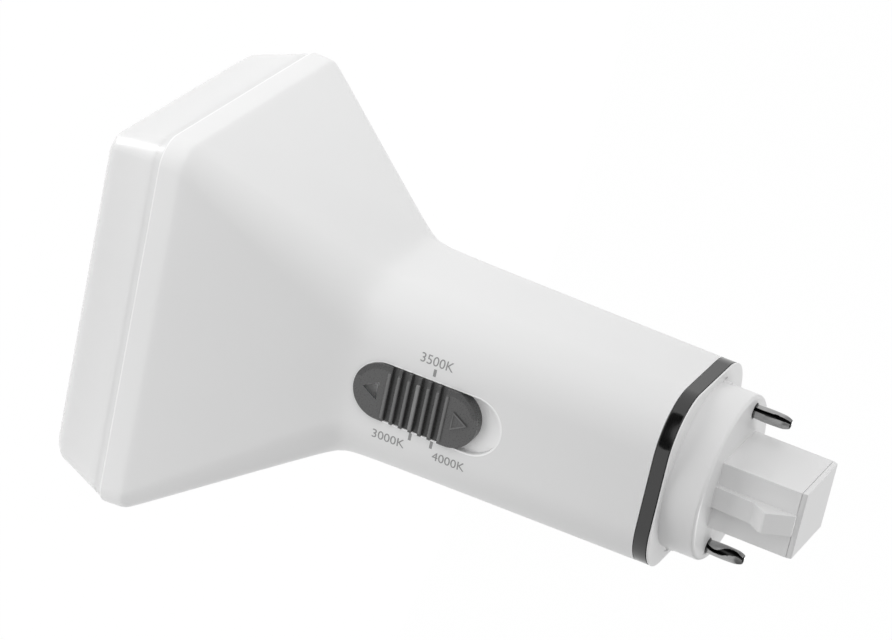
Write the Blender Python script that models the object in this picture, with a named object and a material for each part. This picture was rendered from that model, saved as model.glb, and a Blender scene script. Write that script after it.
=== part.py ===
"""LED plug-in lamp with a rectangular head, a square neck and a two-pin plug.

Metres, +Z up. The lamp stands on the front of its lens cover with the plug
on top. The colour selector is on the -Y face of the neck.
"""
from math import atan2, ceil, cos, pi, radians, sin, sqrt, tan

import bmesh
import bpy
from mathutils import Vector

# clearance between pieces that touch, and the overlap of shapes that fuse
GAP = 0.0003
FUSE = 0.0005

# head: outline of the rim, corners and lens cover
HEAD_WIDTH = 0.0695
HEAD_DEPTH = 0.0587
HEAD_CORNER = 0.0046
LENS_HEIGHT = 0.0136
LENS_STEP = 0.00035
LENS_WALL = 0.0015
LENS_SLOPE = radians(16.8)
LENS_EDGE = 0.0032
LENS_CROWN = 0.0011
LENS_BOW = 0.0016
LENS_CORNER_TAPER = 0.0008
LENS_CROWN_REACH = 0.0140
LENS_SKIRT = 0.0026
LENS_SKIRT_WALL = 0.0014

# housing: rim band, funnel and neck in one moulding
HOUSING_HEIGHT = 0.0897
SHELL_WALL = 0.0018
RIM_ROUND = 0.0005
BAND_HEIGHT = 0.0040
BAND_DRAFT = 0.0001
FUNNEL_ANGLE_X = radians(30.7)
FUNNEL_ANGLE_Y = radians(21.9)
BAND_BLEND = 0.0003
NECK_BLEND = 0.0011
NECK_MARGIN = 0.00135
NECK_CORNER = 0.0094
NECK_DRAFT = radians(0.5)

# colour selector: recess, sliding knob and its snap-in stem
SELECTOR_HEIGHT = 0.0501
SELECTOR_TRAVEL = 0.0040
KNOB_LENGTH = 0.0222
KNOB_WIDTH = 0.0094
KNOB_THICKNESS = 0.0018
KNOB_EDGE = 0.0005
KNOB_END_PLAY = 0.0003
KNOB_SIDE_PLAY = 0.0005
RECESS_DEPTH = 0.0013
RECESS_FLOOR = 0.0012
RIB_COUNT = 7
RIB_PITCH = 0.0018
RIB_RADIUS = 0.00045
RIB_SIDE_MARGIN = 0.00035
ARROW_LENGTH = 0.0029
ARROW_WIDTH = 0.0034
ARROW_RAISE = 0.0003
ARROW_END_MARGIN = 0.0011
STEM_WIDTH = 0.0032
STEM_LENGTH = 0.0050
STEM_BARB = 0.0007
STEM_BARB_HEIGHT = 0.0009

# slide switch under the knob
LEVER_WIDTH = 0.0014
LEVER_LENGTH = 0.0020
LEVER_REACH = 0.0011
SWITCH_WIDTH = 0.0044
SWITCH_LENGTH = 0.0092
SWITCH_DEPTH = 0.0036
SWITCH_SLOT_DEPTH = 0.0024

# accent ring and plug
RING_HEIGHT = 0.0018
FLANGE_THICKNESS = 0.0004
FLANGE_INSET = 0.0001
CAP_SKIRT = 0.0100
CAP_WALL = 0.0015
SNAP_LENGTH = 0.0080
SNAP_RADIUS = 0.0006
SNAP_DROP = 0.0050
DRUM_EDGE = 0.00152
DRUM_HEIGHT = 0.00673
DRUM_ROUND = 0.0007
DRUM_FACE_WALL = 0.0022
DRUM_SIDE_WALL = 0.0036
DRUM_CAVITY_CORNER = 0.0050
PIN_HOLE_WALL = 0.0009
POST_WIDTH = 0.01226
POST_DEPTH = 0.01502
POST_LENGTH = 0.01509
POST_WALL = 0.0013
POST_CORNER = 0.0003
POST_LIP = 0.00086
POST_LIP_DEPTH = 0.0003
NOTCH_RADIUS = 0.0013
NOTCH_HEIGHT = 0.0013
NOTCH_RISE = 0.00035

# latch ridges on the two broad faces of the post, measured from the drum
LATCH_WIDTH = 0.0038
LATCH_ROOT_RISE = 0.00115
LATCH_REST_RISE = 0.00135
LATCH_CREST_RISE = 0.0028
LATCH_TIP_RISE = 0.0004
LATCH_REST_LENGTH = 0.0071
LATCH_RAMP_LENGTH = 0.0021
LATCH_CREST_LENGTH = 0.0008
LATCH_END_MARGIN = 0.0009

# contact pins: rolled tubes with an open seam
PIN_SPACING = 0.0240
PIN_ANGLE = radians(161.6)
PIN_LENGTH = 0.00648
PIN_RADIUS = 0.00118
PIN_WALL = 0.00035
PIN_SEAM_ANGLE = radians(34)
PIN_SEAM_FACING = radians(235)
PIN_BULGE = 0.0001
PIN_NOSE_LENGTH = 0.0014
PIN_NOSE_RADIUS = 0.0008

# driver board and its guides
BOARD_THICKNESS = 0.0016
BOARD_SIDE_ROOM = 0.0010
BOARD_IN_FUNNEL = 0.0092
SWITCH_CLEARANCE = 0.0016
RAIL_WIDTH = 0.0012
RAIL_GRIP = 0.0008
RAIL_STOP = 0.0015

# lamp board, heat spreader and their screws
SPREADER_THICKNESS = 0.0017
SPREADER_WALL = 0.0012
SPREADER_RISE = 0.0060
SPREADER_LIFT = 0.0015
LAMP_BOARD_MARGIN = 0.0053
LAMP_BOARD_CORNER = 0.0030
LAMP_BOARD_THICKNESS = 0.0016
CHIP_LENGTH = 0.0035
CHIP_WIDTH = 0.0028
CHIP_HEIGHT = 0.0007
CHIP_MARGIN = 0.0028
CHIP_COLUMNS = 6
CHIP_ROWS = 5
WIRE_HOLE_RADIUS = 0.0030
SCREW_RADIUS = 0.00125
SCREW_LENGTH = 0.0110
SCREW_HEAD_RADIUS = 0.0026
SCREW_HEAD_HEIGHT = 0.0015
SCREW_DRIVE = 0.0007
BOSS_RADIUS = 0.0030

# driver components: sizes of their bodies
CORE_SIZE = 0.0124
CORE_THICKNESS = 0.0060
CORE_LIMB = 0.0026
WINDING_WALL = 0.0020
INPUT_CAP_RADIUS = 0.0040
INPUT_CAP_LENGTH = 0.0140
OUTPUT_CAP_RADIUS = 0.0032
OUTPUT_CAP_LENGTH = 0.0110
CAN_GROOVE = 0.0003
CAN_EDGE = 0.0004
FILM_CAP_WIDTH = 0.0068
FILM_CAP_LENGTH = 0.0046
FILM_CAP_HEIGHT = 0.0085
CHOKE_RADIUS = 0.0040
CHOKE_HEIGHT = 0.0085
CHOKE_FLANGE = 0.0013
CHOKE_WAIST = 0.0009
FUSE_RADIUS = 0.0018
FUSE_LENGTH = 0.0090
FUSE_WAIST = 0.0003
VARISTOR_RADIUS = 0.0036
VARISTOR_THICKNESS = 0.0032
BRIDGE_WIDTH = 0.0048
BRIDGE_LENGTH = 0.0040
BRIDGE_HEIGHT = 0.0024
CHIP_IC_WIDTH = 0.0039
CHIP_IC_LENGTH = 0.0049
CHIP_IC_HEIGHT = 0.0015
CHIP_IC_LEGS = 4
CHIP_IC_LEG = 0.0004
HEADER_WIDTH = 0.0080
HEADER_LENGTH = 0.0045
HEADER_HEIGHT = 0.0034
CONNECTOR_WIDTH = 0.0070
CONNECTOR_LENGTH = 0.0034
CONNECTOR_HEIGHT = 0.0020
WIRE_RADIUS = 0.00045
WIRE_PITCH = 0.0016
WIRE_BEND = 0.0020
COLUMN_GAP = 0.0008
PAD_ROOM = 0.0034
PAD_INSET = 0.0042
PAD_DROP = 0.0022

# facets
CORNER_STEPS = 6
ROUND_STEPS = 32
ARC_STEPS = 4

# heights of the stack, worked out from the sizes above
RIM_Z = LENS_HEIGHT
BAND_Z = RIM_Z + BAND_HEIGHT
NECK_END_Z = RIM_Z + HOUSING_HEIGHT
RING_Z = NECK_END_Z + GAP
FLANGE_Z = RING_Z + RING_HEIGHT + GAP
DRUM_Z = FLANGE_Z + FLANGE_THICKNESS
DRUM_FACE_Z = DRUM_Z + DRUM_HEIGHT
POST_END_Z = DRUM_FACE_Z + POST_LENGTH
CAP_SKIRT_Z = FLANGE_Z - CAP_SKIRT
SELECTOR_Z = RIM_Z + SELECTOR_HEIGHT
KNOB_Z = SELECTOR_Z - SELECTOR_TRAVEL / 2
SPREADER_Z = BAND_Z + SPREADER_LIFT
BOARD_TOP_Z = CAP_SKIRT_Z - GAP
LAMP_BOARD_Z = SPREADER_Z - GAP - LAMP_BOARD_THICKNESS

# the pins set the drum, the drum sets the neck, and the neck's foot the board
DRUM_RADIUS = PIN_SPACING / 2 + PIN_RADIUS + DRUM_EDGE
NECK_HALF = DRUM_RADIUS + NECK_MARGIN
NECK_FOOT_Z = BAND_Z + (HEAD_WIDTH / 2 - BAND_DRAFT - NECK_HALF) / tan(FUNNEL_ANGLE_X)
BOARD_BOTTOM_Z = NECK_FOOT_Z - BOARD_IN_FUNNEL
BOARD_HALF = NECK_HALF - SHELL_WALL - BOARD_SIDE_ROOM
DRUM_CAVITY_X = abs(cos(PIN_ANGLE)) * PIN_SPACING / 2 - PIN_RADIUS - GAP - PIN_HOLE_WALL
DRUM_CAVITY_Y = DRUM_RADIUS - DRUM_SIDE_WALL

# lamp board: light packages in an even grid, with the screws between them
LAMP_BOARD_X = HEAD_WIDTH / 2 - LAMP_BOARD_MARGIN
LAMP_BOARD_Y = HEAD_DEPTH / 2 - LAMP_BOARD_MARGIN
CHIP_PITCH_X = (2 * (LAMP_BOARD_X - CHIP_MARGIN) - CHIP_LENGTH) / (CHIP_COLUMNS - 1)
CHIP_PITCH_Y = (2 * (LAMP_BOARD_Y - CHIP_MARGIN) - CHIP_WIDTH) / (CHIP_ROWS - 1)
SCREW_X = (CHIP_COLUMNS / 2 - 1) * CHIP_PITCH_X
SCREW_Y = (CHIP_ROWS / 2 - 1) * CHIP_PITCH_Y
BOSS_TOP_Z = BAND_Z + min((HEAD_WIDTH / 2 - SHELL_WALL - SCREW_X + BOSS_RADIUS) / tan(FUNNEL_ANGLE_X),
                          (HEAD_DEPTH / 2 - SHELL_WALL - SCREW_Y + BOSS_RADIUS) / tan(FUNNEL_ANGLE_Y))

# depths along Y at the selector: outer wall, recess floor, inside of the pad
WALL_Y = NECK_HALF + (NECK_END_Z - SELECTOR_Z) * tan(NECK_DRAFT)
FLOOR_Y = WALL_Y - RECESS_DEPTH
PAD_Y = FLOOR_Y - RECESS_FLOOR
KNOB_UNDER_Y = FLOOR_Y + GAP
KNOB_TOP_Y = KNOB_UNDER_Y + KNOB_THICKNESS
STEM_END_Y = PAD_Y - GAP - STEM_BARB_HEIGHT
SWITCH_TOP_Y = STEM_END_Y - SWITCH_CLEARANCE
SWITCH_Y = SWITCH_TOP_Y - SWITCH_DEPTH
BOARD_SWITCH_FACE = SWITCH_Y - GAP
BOARD_PART_FACE = BOARD_THICKNESS - BOARD_SWITCH_FACE
PART_Y = BOARD_PART_FACE + GAP
CAP_HALF = NECK_HALF - SHELL_WALL - GAP


def clear_scene():
    for old in list(bpy.data.objects):
        bpy.data.objects.remove(old, do_unlink=True)


def material(name, colour, roughness, metallic=0.0):
    found = bpy.data.materials.get(name)
    if found:
        return found
    made = bpy.data.materials.new(name)
    made.use_nodes = True
    shader = made.node_tree.nodes["Principled BSDF"]
    shader.inputs["Base Color"].default_value = (*colour, 1.0)
    shader.inputs["Roughness"].default_value = roughness
    shader.inputs["Metallic"].default_value = metallic
    made.diffuse_color = (*colour, 1.0)
    return made


def white_plastic():
    return material("white_plastic", (0.86, 0.86, 0.86), 0.42)


def frosted_plastic():
    return material("frosted_plastic", (0.90, 0.90, 0.89), 0.30)


def dark_gloss_plastic():
    return material("dark_gloss_plastic", (0.09, 0.09, 0.09), 0.15)


def dark_plastic():
    return material("dark_plastic", (0.08, 0.08, 0.08), 0.45)


def nickel():
    return material("nickel_plate", (0.46, 0.45, 0.43), 0.28, 1.0)


def steel():
    return material("screw_steel", (0.60, 0.60, 0.60), 0.30, 1.0)


def sheet_aluminium():
    return material("sheet_aluminium", (0.78, 0.78, 0.79), 0.38, 1.0)


def board_laminate():
    return material("board_laminate", (0.10, 0.30, 0.14), 0.50)


def board_white():
    return material("board_white", (0.90, 0.90, 0.88), 0.45)


def finish(name, mesh_object, surface, smooth=False):
    mesh_object.name = name
    mesh_object.data.name = name
    mesh_object.data.materials.clear()
    mesh_object.data.materials.append(surface)
    if smooth:
        mesh_object.data.shade_smooth()
        mesh_object.data.set_sharp_from_angle(angle=radians(35))
    return mesh_object


def add_mesh(name, shape):
    bmesh.ops.recalc_face_normals(shape, faces=shape.faces)
    mesh = bpy.data.meshes.new(name)
    shape.to_mesh(mesh)
    shape.free()
    made = bpy.data.objects.new(name, mesh)
    bpy.context.scene.collection.objects.link(made)
    return made


def loft(name, loops, capped=True):
    """Skin a row of loops with equal point counts, capped or joined end to start."""
    shape = bmesh.new()
    rings = [[shape.verts.new(point) for point in loop] for loop in loops]
    pairs = list(zip(rings, rings[1:]))
    if not capped:
        pairs.append((rings[-1], rings[0]))
    for low, high in pairs:
        for k in range(len(low)):
            n = (k + 1) % len(low)
            shape.faces.new((low[k], low[n], high[n], high[k]))
    if capped:
        shape.faces.new(rings[0])
        shape.faces.new(rings[-1])
    return add_mesh(name, shape)


def rounded_loop(half_x, half_y, radius, z):
    points = []
    for sign_x, sign_y, start in ((1, 1, 0), (-1, 1, 1), (-1, -1, 2), (1, -1, 3)):
        for step in range(CORNER_STEPS + 1):
            angle = (start + step / CORNER_STEPS) * pi / 2
            points.append(Vector((sign_x * (half_x - radius) + radius * cos(angle),
                                  sign_y * (half_y - radius) + radius * sin(angle), z)))
    return points


def circle_loop(radius, z, centre=(0.0, 0.0), steps=ROUND_STEPS):
    return [Vector((centre[0] + radius * cos(2 * pi * k / steps),
                    centre[1] + radius * sin(2 * pi * k / steps), z)) for k in range(steps)]


def turned(name, profile, steps=ROUND_STEPS):
    """A solid of revolution about Z from (radius, height) pairs, bottom to top."""
    return loft(name, [circle_loop(radius, height, steps=steps) for radius, height in profile])


def box(name, low, high, bevel=0.0):
    shape = bmesh.new()
    bmesh.ops.create_cube(shape, size=1.0)
    size = Vector(high) - Vector(low)
    middle = (Vector(high) + Vector(low)) / 2
    bmesh.ops.scale(shape, vec=size, verts=shape.verts)
    bmesh.ops.translate(shape, vec=middle, verts=shape.verts)
    made = add_mesh(name, shape)
    if bevel:
        edge = made.modifiers.new("edges", "BEVEL")
        edge.width = bevel
        edge.segments = 2
        edge.limit_method = "ANGLE"
    return made


def prism(name, outline, low, high, axis):
    """An outline of (u, v) points pushed along X, Y or Z."""
    place = {"X": lambda u, v, w: (w, u, v),
             "Y": lambda u, v, w: (u, w, v),
             "Z": lambda u, v, w: (u, v, w)}[axis]
    return loft(name, [[Vector(place(u, v, level)) for u, v in outline] for level in (low, high)])


def stadium(width, length, middle):
    """Outline in (x, z): straight sides along Z with round ends."""
    radius = width / 2
    reach = length / 2 - radius
    points = []
    for side, start in ((1, 0.0), (-1, pi)):
        for step in range(2 * CORNER_STEPS + 1):
            angle = start + pi * step / (2 * CORNER_STEPS)
            points.append((radius * cos(angle), middle + side * reach + radius * sin(angle)))
    return points


def combine(target, other, operation):
    change = target.modifiers.new(other.name, "BOOLEAN")
    change.operation = operation
    change.solver = "EXACT"
    change.object = other
    other.hide_render = True
    other.display_type = "WIRE"


def joined(name, pieces):
    """Several closed shapes in one object, for use as a cutter or an addition."""
    shape = bmesh.new()
    for piece in pieces:
        shape.from_mesh(piece.data)
        bpy.data.objects.remove(piece, do_unlink=True)
    return add_mesh(name, shape)


def place(piece, position, turn=(0.0, 0.0, 0.0)):
    piece.location = position
    piece.rotation_euler = turn
    return piece


def soft_least(first, second, blend):
    return (first + second - sqrt((first - second) ** 2 + blend ** 2)) / 2


def soft_most(first, second, blend):
    return (first + second + sqrt((first - second) ** 2 + blend ** 2)) / 2


def neck_half(z):
    return NECK_HALF + (NECK_END_Z - z) * tan(NECK_DRAFT)


def foot_z(head, angle):
    """Height where a funnel wall meets the neck wall."""
    run = head / 2 - BAND_DRAFT - neck_half(BAND_Z)
    return BAND_Z + run / (tan(angle) - tan(NECK_DRAFT))


def shell_half(z, head, angle):
    band = head / 2 - BAND_DRAFT * (z - RIM_Z) / BAND_HEIGHT
    funnel = head / 2 - BAND_DRAFT - (z - BAND_Z) * tan(angle)
    return soft_most(soft_least(band, funnel, BAND_BLEND), neck_half(z), NECK_BLEND)


def shell_corner(z):
    reach = foot_z(HEAD_WIDTH, FUNNEL_ANGLE_X) - BAND_Z
    share = min(max((z - BAND_Z) / reach, 0.0), 1.0)
    return HEAD_CORNER + (NECK_CORNER - HEAD_CORNER) * share


def shell_loop(z, inset=0.0):
    return rounded_loop(shell_half(z, HEAD_WIDTH, FUNNEL_ANGLE_X) - inset,
                        shell_half(z, HEAD_DEPTH, FUNNEL_ANGLE_Y) - inset,
                        shell_corner(z) - inset, z)


def shell_heights():
    """Stations along the housing, close together at the rim and at the neck's foot."""
    foot_low = foot_z(HEAD_WIDTH, FUNNEL_ANGLE_X)
    foot_high = foot_z(HEAD_DEPTH, FUNNEL_ANGLE_Y)
    spread = 6 * NECK_BLEND
    rim = [RIM_Z + RIM_ROUND, BAND_Z - 2 * BAND_BLEND, BAND_Z - BAND_BLEND / 2,
           BAND_Z + BAND_BLEND / 2, BAND_Z + 3 * BAND_BLEND]
    steps = 2 * ARC_STEPS
    span = foot_high - foot_low + 2 * spread
    foot = [foot_low - spread + span * k / steps for k in range(steps + 1)]
    return rim + foot


def make_lens_cover():
    """Cup with tapering walls, a rounded front edge and a crowned front that drops at its corners."""
    top_x = HEAD_WIDTH / 2 - LENS_STEP
    top_y = HEAD_DEPTH / 2 - LENS_STEP
    shoulder_z = RIM_Z - GAP
    face_tilt = atan2(2 * LENS_CROWN, LENS_CROWN_REACH)
    arc_end = pi / 2 - face_tilt
    centre_z = LENS_CROWN + LENS_EDGE * sin(arc_end)
    tangent_z = centre_z - LENS_EDGE * sin(LENS_SLOPE)
    centre_inset = (shoulder_z - tangent_z) * tan(LENS_SLOPE) + LENS_EDGE * cos(LENS_SLOPE)

    # inset from the rim outline, height, angle at which the skin faces down, share of the bow
    skin = [(0.0, shoulder_z, LENS_SLOPE, 0.0)]
    for step in range(ARC_STEPS + 1):
        angle = LENS_SLOPE + (arc_end - LENS_SLOPE) * step / ARC_STEPS
        height = centre_z - LENS_EDGE * sin(angle)
        skin.append((centre_inset - LENS_EDGE * cos(angle), height, angle, 1 - height / shoulder_z))
    edge_inset = skin[-1][0]
    for step in range(1, ARC_STEPS + 1):
        share = 1 - step / ARC_STEPS
        skin.append((edge_inset + LENS_CROWN_REACH * (1 - share), LENS_CROWN * share ** 2, pi / 2, share))

    def loop(inset, z, thinner=0.0, bow=0.0):
        corner = HEAD_CORNER - LENS_STEP - LENS_CORNER_TAPER * bow - thinner
        flat = rounded_loop(top_x - inset, top_y - inset, corner, z)
        return [Vector((p.x, p.y, z + LENS_BOW * bow * (p.x * p.y / (top_x * top_y)) ** 2)) for p in flat]

    outer = [loop(inset, z, bow=bow) for inset, z, _, bow in reversed(skin)]
    inner = [loop(inset + LENS_WALL * cos(angle), z + LENS_WALL * sin(angle), LENS_WALL, bow)
             for inset, z, angle, bow in skin]
    skirt_inset = SHELL_WALL + GAP - LENS_STEP
    skirt_inner = skirt_inset + LENS_SKIRT_WALL
    skirt = [loop(skirt_inset, shoulder_z, skirt_inset),
             loop(skirt_inset, RIM_Z + LENS_SKIRT, skirt_inset),
             loop(skirt_inner, RIM_Z + LENS_SKIRT, skirt_inner),
             loop(skirt_inner, shoulder_z - LENS_SKIRT_WALL, skirt_inner)]
    shelf_z = shoulder_z - 2 * LENS_SKIRT_WALL
    shelf_inset = (shoulder_z - shelf_z) * tan(LENS_SLOPE) + LENS_WALL / cos(LENS_SLOPE)
    shelf = [loop(shelf_inset, shelf_z, LENS_WALL)]
    cover = loft("lens_cover", outer + skirt + shelf + inner[1:])
    return finish("lens_cover", cover, frosted_plastic(), smooth=True)


def screw_places():
    return [(x * SCREW_X, y * SCREW_Y) for x in (-1, 1) for y in (-1, 1)]


def cavity_shape():
    """The hollow of the housing, with bosses, board guides and selector pad left standing."""
    overrun = 4 * FUSE
    skirt_room = [rounded_loop(HEAD_WIDTH / 2 - SHELL_WALL, HEAD_DEPTH / 2 - SHELL_WALL,
                               HEAD_CORNER - SHELL_WALL, z)
                  for z in (RIM_Z - overrun, RIM_Z + LENS_SKIRT + GAP)]
    loops = skirt_room + [shell_loop(z, SHELL_WALL) for z in shell_heights() if z > BAND_Z]
    loops.append(shell_loop(NECK_END_Z + overrun, SHELL_WALL))
    hollow = loft("housing_cavity", loops)

    boss_base = SPREADER_Z + SPREADER_THICKNESS + GAP
    bosses = joined("screw_bosses", [
        loft("boss", [circle_loop(BOSS_RADIUS, z, centre, ROUND_STEPS // 2) for z in (boss_base, BOSS_TOP_Z)])
        for centre in screw_places()])
    combine(hollow, bosses, "DIFFERENCE")

    grip = BOARD_HALF + GAP - RAIL_GRIP
    outside = HEAD_WIDTH / 2
    faces = (-BOARD_SWITCH_FACE, BOARD_PART_FACE)
    rails = []
    for side in (-1, 1):
        for face, away in ((faces[0] - GAP, -1), (faces[1] + GAP, 1)):
            near, far = sorted((face, face + away * RAIL_WIDTH))
            left, right = sorted((side * grip, side * outside))
            rails.append(box("rail", (left, near, BOARD_BOTTOM_Z), (right, far, BOARD_TOP_Z - CAP_SKIRT / 2)))
    rails = joined("board_rails", rails)
    combine(hollow, rails, "DIFFERENCE")

    stops = []
    for side in (-1, 1):
        left, right = sorted((side * grip, side * outside))
        stops.append(box("stop", (left, faces[0] - GAP - RAIL_WIDTH, BOARD_BOTTOM_Z - GAP - RAIL_STOP),
                         (right, faces[1] + GAP + RAIL_WIDTH, BOARD_BOTTOM_Z - GAP)))
    stops = joined("board_stops", stops)
    combine(hollow, stops, "DIFFERENCE")

    pad = box("selector_pad",
              (-KNOB_WIDTH / 2 - SHELL_WALL, -HEAD_DEPTH / 2, SELECTOR_Z - recess_length() / 2 - SHELL_WALL),
              (KNOB_WIDTH / 2 + SHELL_WALL, -PAD_Y, SELECTOR_Z + recess_length() / 2 + SHELL_WALL))
    combine(hollow, pad, "DIFFERENCE")

    grooves = joined("snap_grooves", [snap_bead(side, GAP) for side in (-1, 1)])
    combine(hollow, grooves, "UNION")
    return hollow


def snap_bead(side, clearance):
    """Round bar along Y that stands proud of the cap's skirt and catches in the neck."""
    radius = SNAP_RADIUS + clearance
    length = SNAP_LENGTH + 2 * clearance
    x = side * (CAP_HALF - SNAP_RADIUS / 4)
    z = FLANGE_Z - SNAP_DROP
    angles = [pi * k / CORNER_STEPS for k in range(2 * CORNER_STEPS)]
    outline = [(x + radius * cos(angle), z + radius * sin(angle)) for angle in angles]
    return prism("snap_bead", outline, -length / 2, length / 2, "Y")


def recess_length():
    return KNOB_LENGTH + SELECTOR_TRAVEL + 2 * KNOB_END_PLAY


def make_housing():
    """One moulding: rim band, straight-sided funnel and square neck."""
    turn_in = RIM_ROUND * (1 - sqrt(0.5))
    loops = [rounded_loop(HEAD_WIDTH / 2 - inset, HEAD_DEPTH / 2 - inset, HEAD_CORNER - inset, z)
             for inset, z in ((RIM_ROUND, RIM_Z), (turn_in, RIM_Z + turn_in))]
    loops += [shell_loop(z) for z in shell_heights()] + [shell_loop(NECK_END_Z)]
    shell = loft("housing", loops)
    combine(shell, cavity_shape(), "DIFFERENCE")

    recess_width = KNOB_WIDTH + 2 * KNOB_SIDE_PLAY
    recess = prism("selector_recess", stadium(recess_width, recess_length(), SELECTOR_Z),
                   -HEAD_DEPTH / 2, -FLOOR_Y, "Y")
    combine(shell, recess, "DIFFERENCE")
    slot_width = STEM_WIDTH + 2 * GAP
    slot_length = STEM_LENGTH + SELECTOR_TRAVEL + 2 * KNOB_END_PLAY
    slot = box("selector_slot", (-slot_width / 2, -FLOOR_Y - FUSE, SELECTOR_Z - slot_length / 2),
               (slot_width / 2, -PAD_Y + FUSE, SELECTOR_Z + slot_length / 2))
    combine(shell, slot, "DIFFERENCE")

    hole_radius = SCREW_RADIUS + GAP
    hole_low = SPREADER_Z
    hole_high = screw_tip_z() + GAP
    holes = joined("screw_holes", [
        loft("hole", [circle_loop(hole_radius, z, centre, ROUND_STEPS // 2) for z in (hole_low, hole_high)])
        for centre in screw_places()])
    combine(shell, holes, "DIFFERENCE")
    return finish("housing", shell, white_plastic(), smooth=True)


def make_knob():
    """Sliding knob with seven grip ribs, two arrows and a stem that snaps through the slot."""
    outline = stadium(KNOB_WIDTH, KNOB_LENGTH, KNOB_Z)
    inner = stadium(KNOB_WIDTH - 2 * KNOB_EDGE, KNOB_LENGTH - 2 * KNOB_EDGE, KNOB_Z)
    plate = loft("selector_knob", [
        [Vector((x, -KNOB_UNDER_Y, z)) for x, z in outline],
        [Vector((x, KNOB_EDGE - KNOB_TOP_Y, z)) for x, z in outline],
        [Vector((x, -KNOB_TOP_Y, z)) for x, z in inner]])

    details = []
    half = KNOB_WIDTH / 2 - KNOB_EDGE - RIB_SIDE_MARGIN
    for k in range(RIB_COUNT):
        z = KNOB_Z + (k - (RIB_COUNT - 1) / 2) * RIB_PITCH
        angles = [pi * s / CORNER_STEPS for s in range(CORNER_STEPS + 1)]
        arc = [(-KNOB_TOP_Y - RIB_RADIUS * sin(angle), z + RIB_RADIUS * cos(angle)) for angle in angles]
        foot = [(FUSE - KNOB_TOP_Y, z - RIB_RADIUS), (FUSE - KNOB_TOP_Y, z + RIB_RADIUS)]
        details.append(prism("rib", arc + foot, -half, half, "X"))
    for side in (-1, 1):
        tip = KNOB_Z + side * (KNOB_LENGTH / 2 - ARROW_END_MARGIN)
        base = tip - side * ARROW_LENGTH
        triangle = [(0.0, tip), (ARROW_WIDTH / 2, base), (-ARROW_WIDTH / 2, base)]
        details.append(prism("arrow", triangle, -KNOB_TOP_Y - ARROW_RAISE, FUSE - KNOB_TOP_Y, "Y"))
    combine(plate, joined("knob_details", details), "UNION")

    barb_y = PAD_Y - GAP
    wide = STEM_WIDTH / 2 + STEM_BARB
    narrow = STEM_WIDTH / 2
    fused_y = KNOB_UNDER_Y + FUSE
    section = [(-narrow, -fused_y), (-narrow, -barb_y), (-wide, -barb_y), (-narrow, -STEM_END_Y),
               (narrow, -STEM_END_Y), (wide, -barb_y), (narrow, -barb_y), (narrow, -fused_y)]
    stem = prism("knob_stem", section, KNOB_Z - STEM_LENGTH / 2, KNOB_Z + STEM_LENGTH / 2, "Z")
    combine(plate, stem, "UNION")
    socket_x = LEVER_WIDTH / 2 + GAP
    socket_z = LEVER_LENGTH / 2 + GAP
    socket = box("lever_socket", (-socket_x, -lever_tip_y() - GAP, KNOB_Z - socket_z),
                 (socket_x, FUSE - STEM_END_Y, KNOB_Z + socket_z))
    combine(plate, socket, "DIFFERENCE")
    return finish("selector_knob", plate, dark_plastic())


def lever_tip_y():
    return STEM_END_Y + LEVER_REACH


def make_switch():
    """Slide switch on the board: metal can with a slot, and the lever that runs in it."""
    can = box("switch_case", (-SWITCH_WIDTH / 2, -SWITCH_TOP_Y, SELECTOR_Z - SWITCH_LENGTH / 2),
              (SWITCH_WIDTH / 2, -SWITCH_Y, SELECTOR_Z + SWITCH_LENGTH / 2))
    slot_x = LEVER_WIDTH / 2 + GAP
    slot_z = (LEVER_LENGTH + SELECTOR_TRAVEL) / 2 + GAP
    slot = box("switch_slot", (-slot_x, -SWITCH_TOP_Y - FUSE, SELECTOR_Z - slot_z),
               (slot_x, SWITCH_SLOT_DEPTH - SWITCH_TOP_Y, SELECTOR_Z + slot_z))
    combine(can, slot, "DIFFERENCE")
    finish("switch_case", can, steel())
    lever = box("switch_lever",
                (-LEVER_WIDTH / 2, -lever_tip_y(), KNOB_Z - LEVER_LENGTH / 2),
                (LEVER_WIDTH / 2, SWITCH_SLOT_DEPTH - GAP - SWITCH_TOP_Y, KNOB_Z + LEVER_LENGTH / 2),
                bevel=GAP / 2)
    finish("switch_lever", lever, dark_plastic())


def make_accent_ring():
    """Flat square ring held between the neck and the plug's flange."""
    inside = CAP_HALF + GAP
    inner_corner = NECK_CORNER - (NECK_HALF - inside)
    edge = GAP / 2
    outer = [rounded_loop(NECK_HALF - edge, NECK_HALF - edge, NECK_CORNER - edge, RING_Z),
             rounded_loop(NECK_HALF, NECK_HALF, NECK_CORNER, RING_Z + edge),
             rounded_loop(NECK_HALF, NECK_HALF, NECK_CORNER, RING_Z + RING_HEIGHT - edge),
             rounded_loop(NECK_HALF - edge, NECK_HALF - edge, NECK_CORNER - edge, RING_Z + RING_HEIGHT)]
    inner = [rounded_loop(inside, inside, inner_corner, RING_Z + RING_HEIGHT),
             rounded_loop(inside, inside, inner_corner, RING_Z)]
    ring = loft("accent_ring", outer + inner, capped=False)
    return finish("accent_ring", ring, dark_gloss_plastic(), smooth=True)


def pin_places():
    reach = PIN_SPACING / 2
    return [(side * reach * cos(PIN_ANGLE), side * reach * sin(PIN_ANGLE)) for side in (1, -1)]


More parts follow.
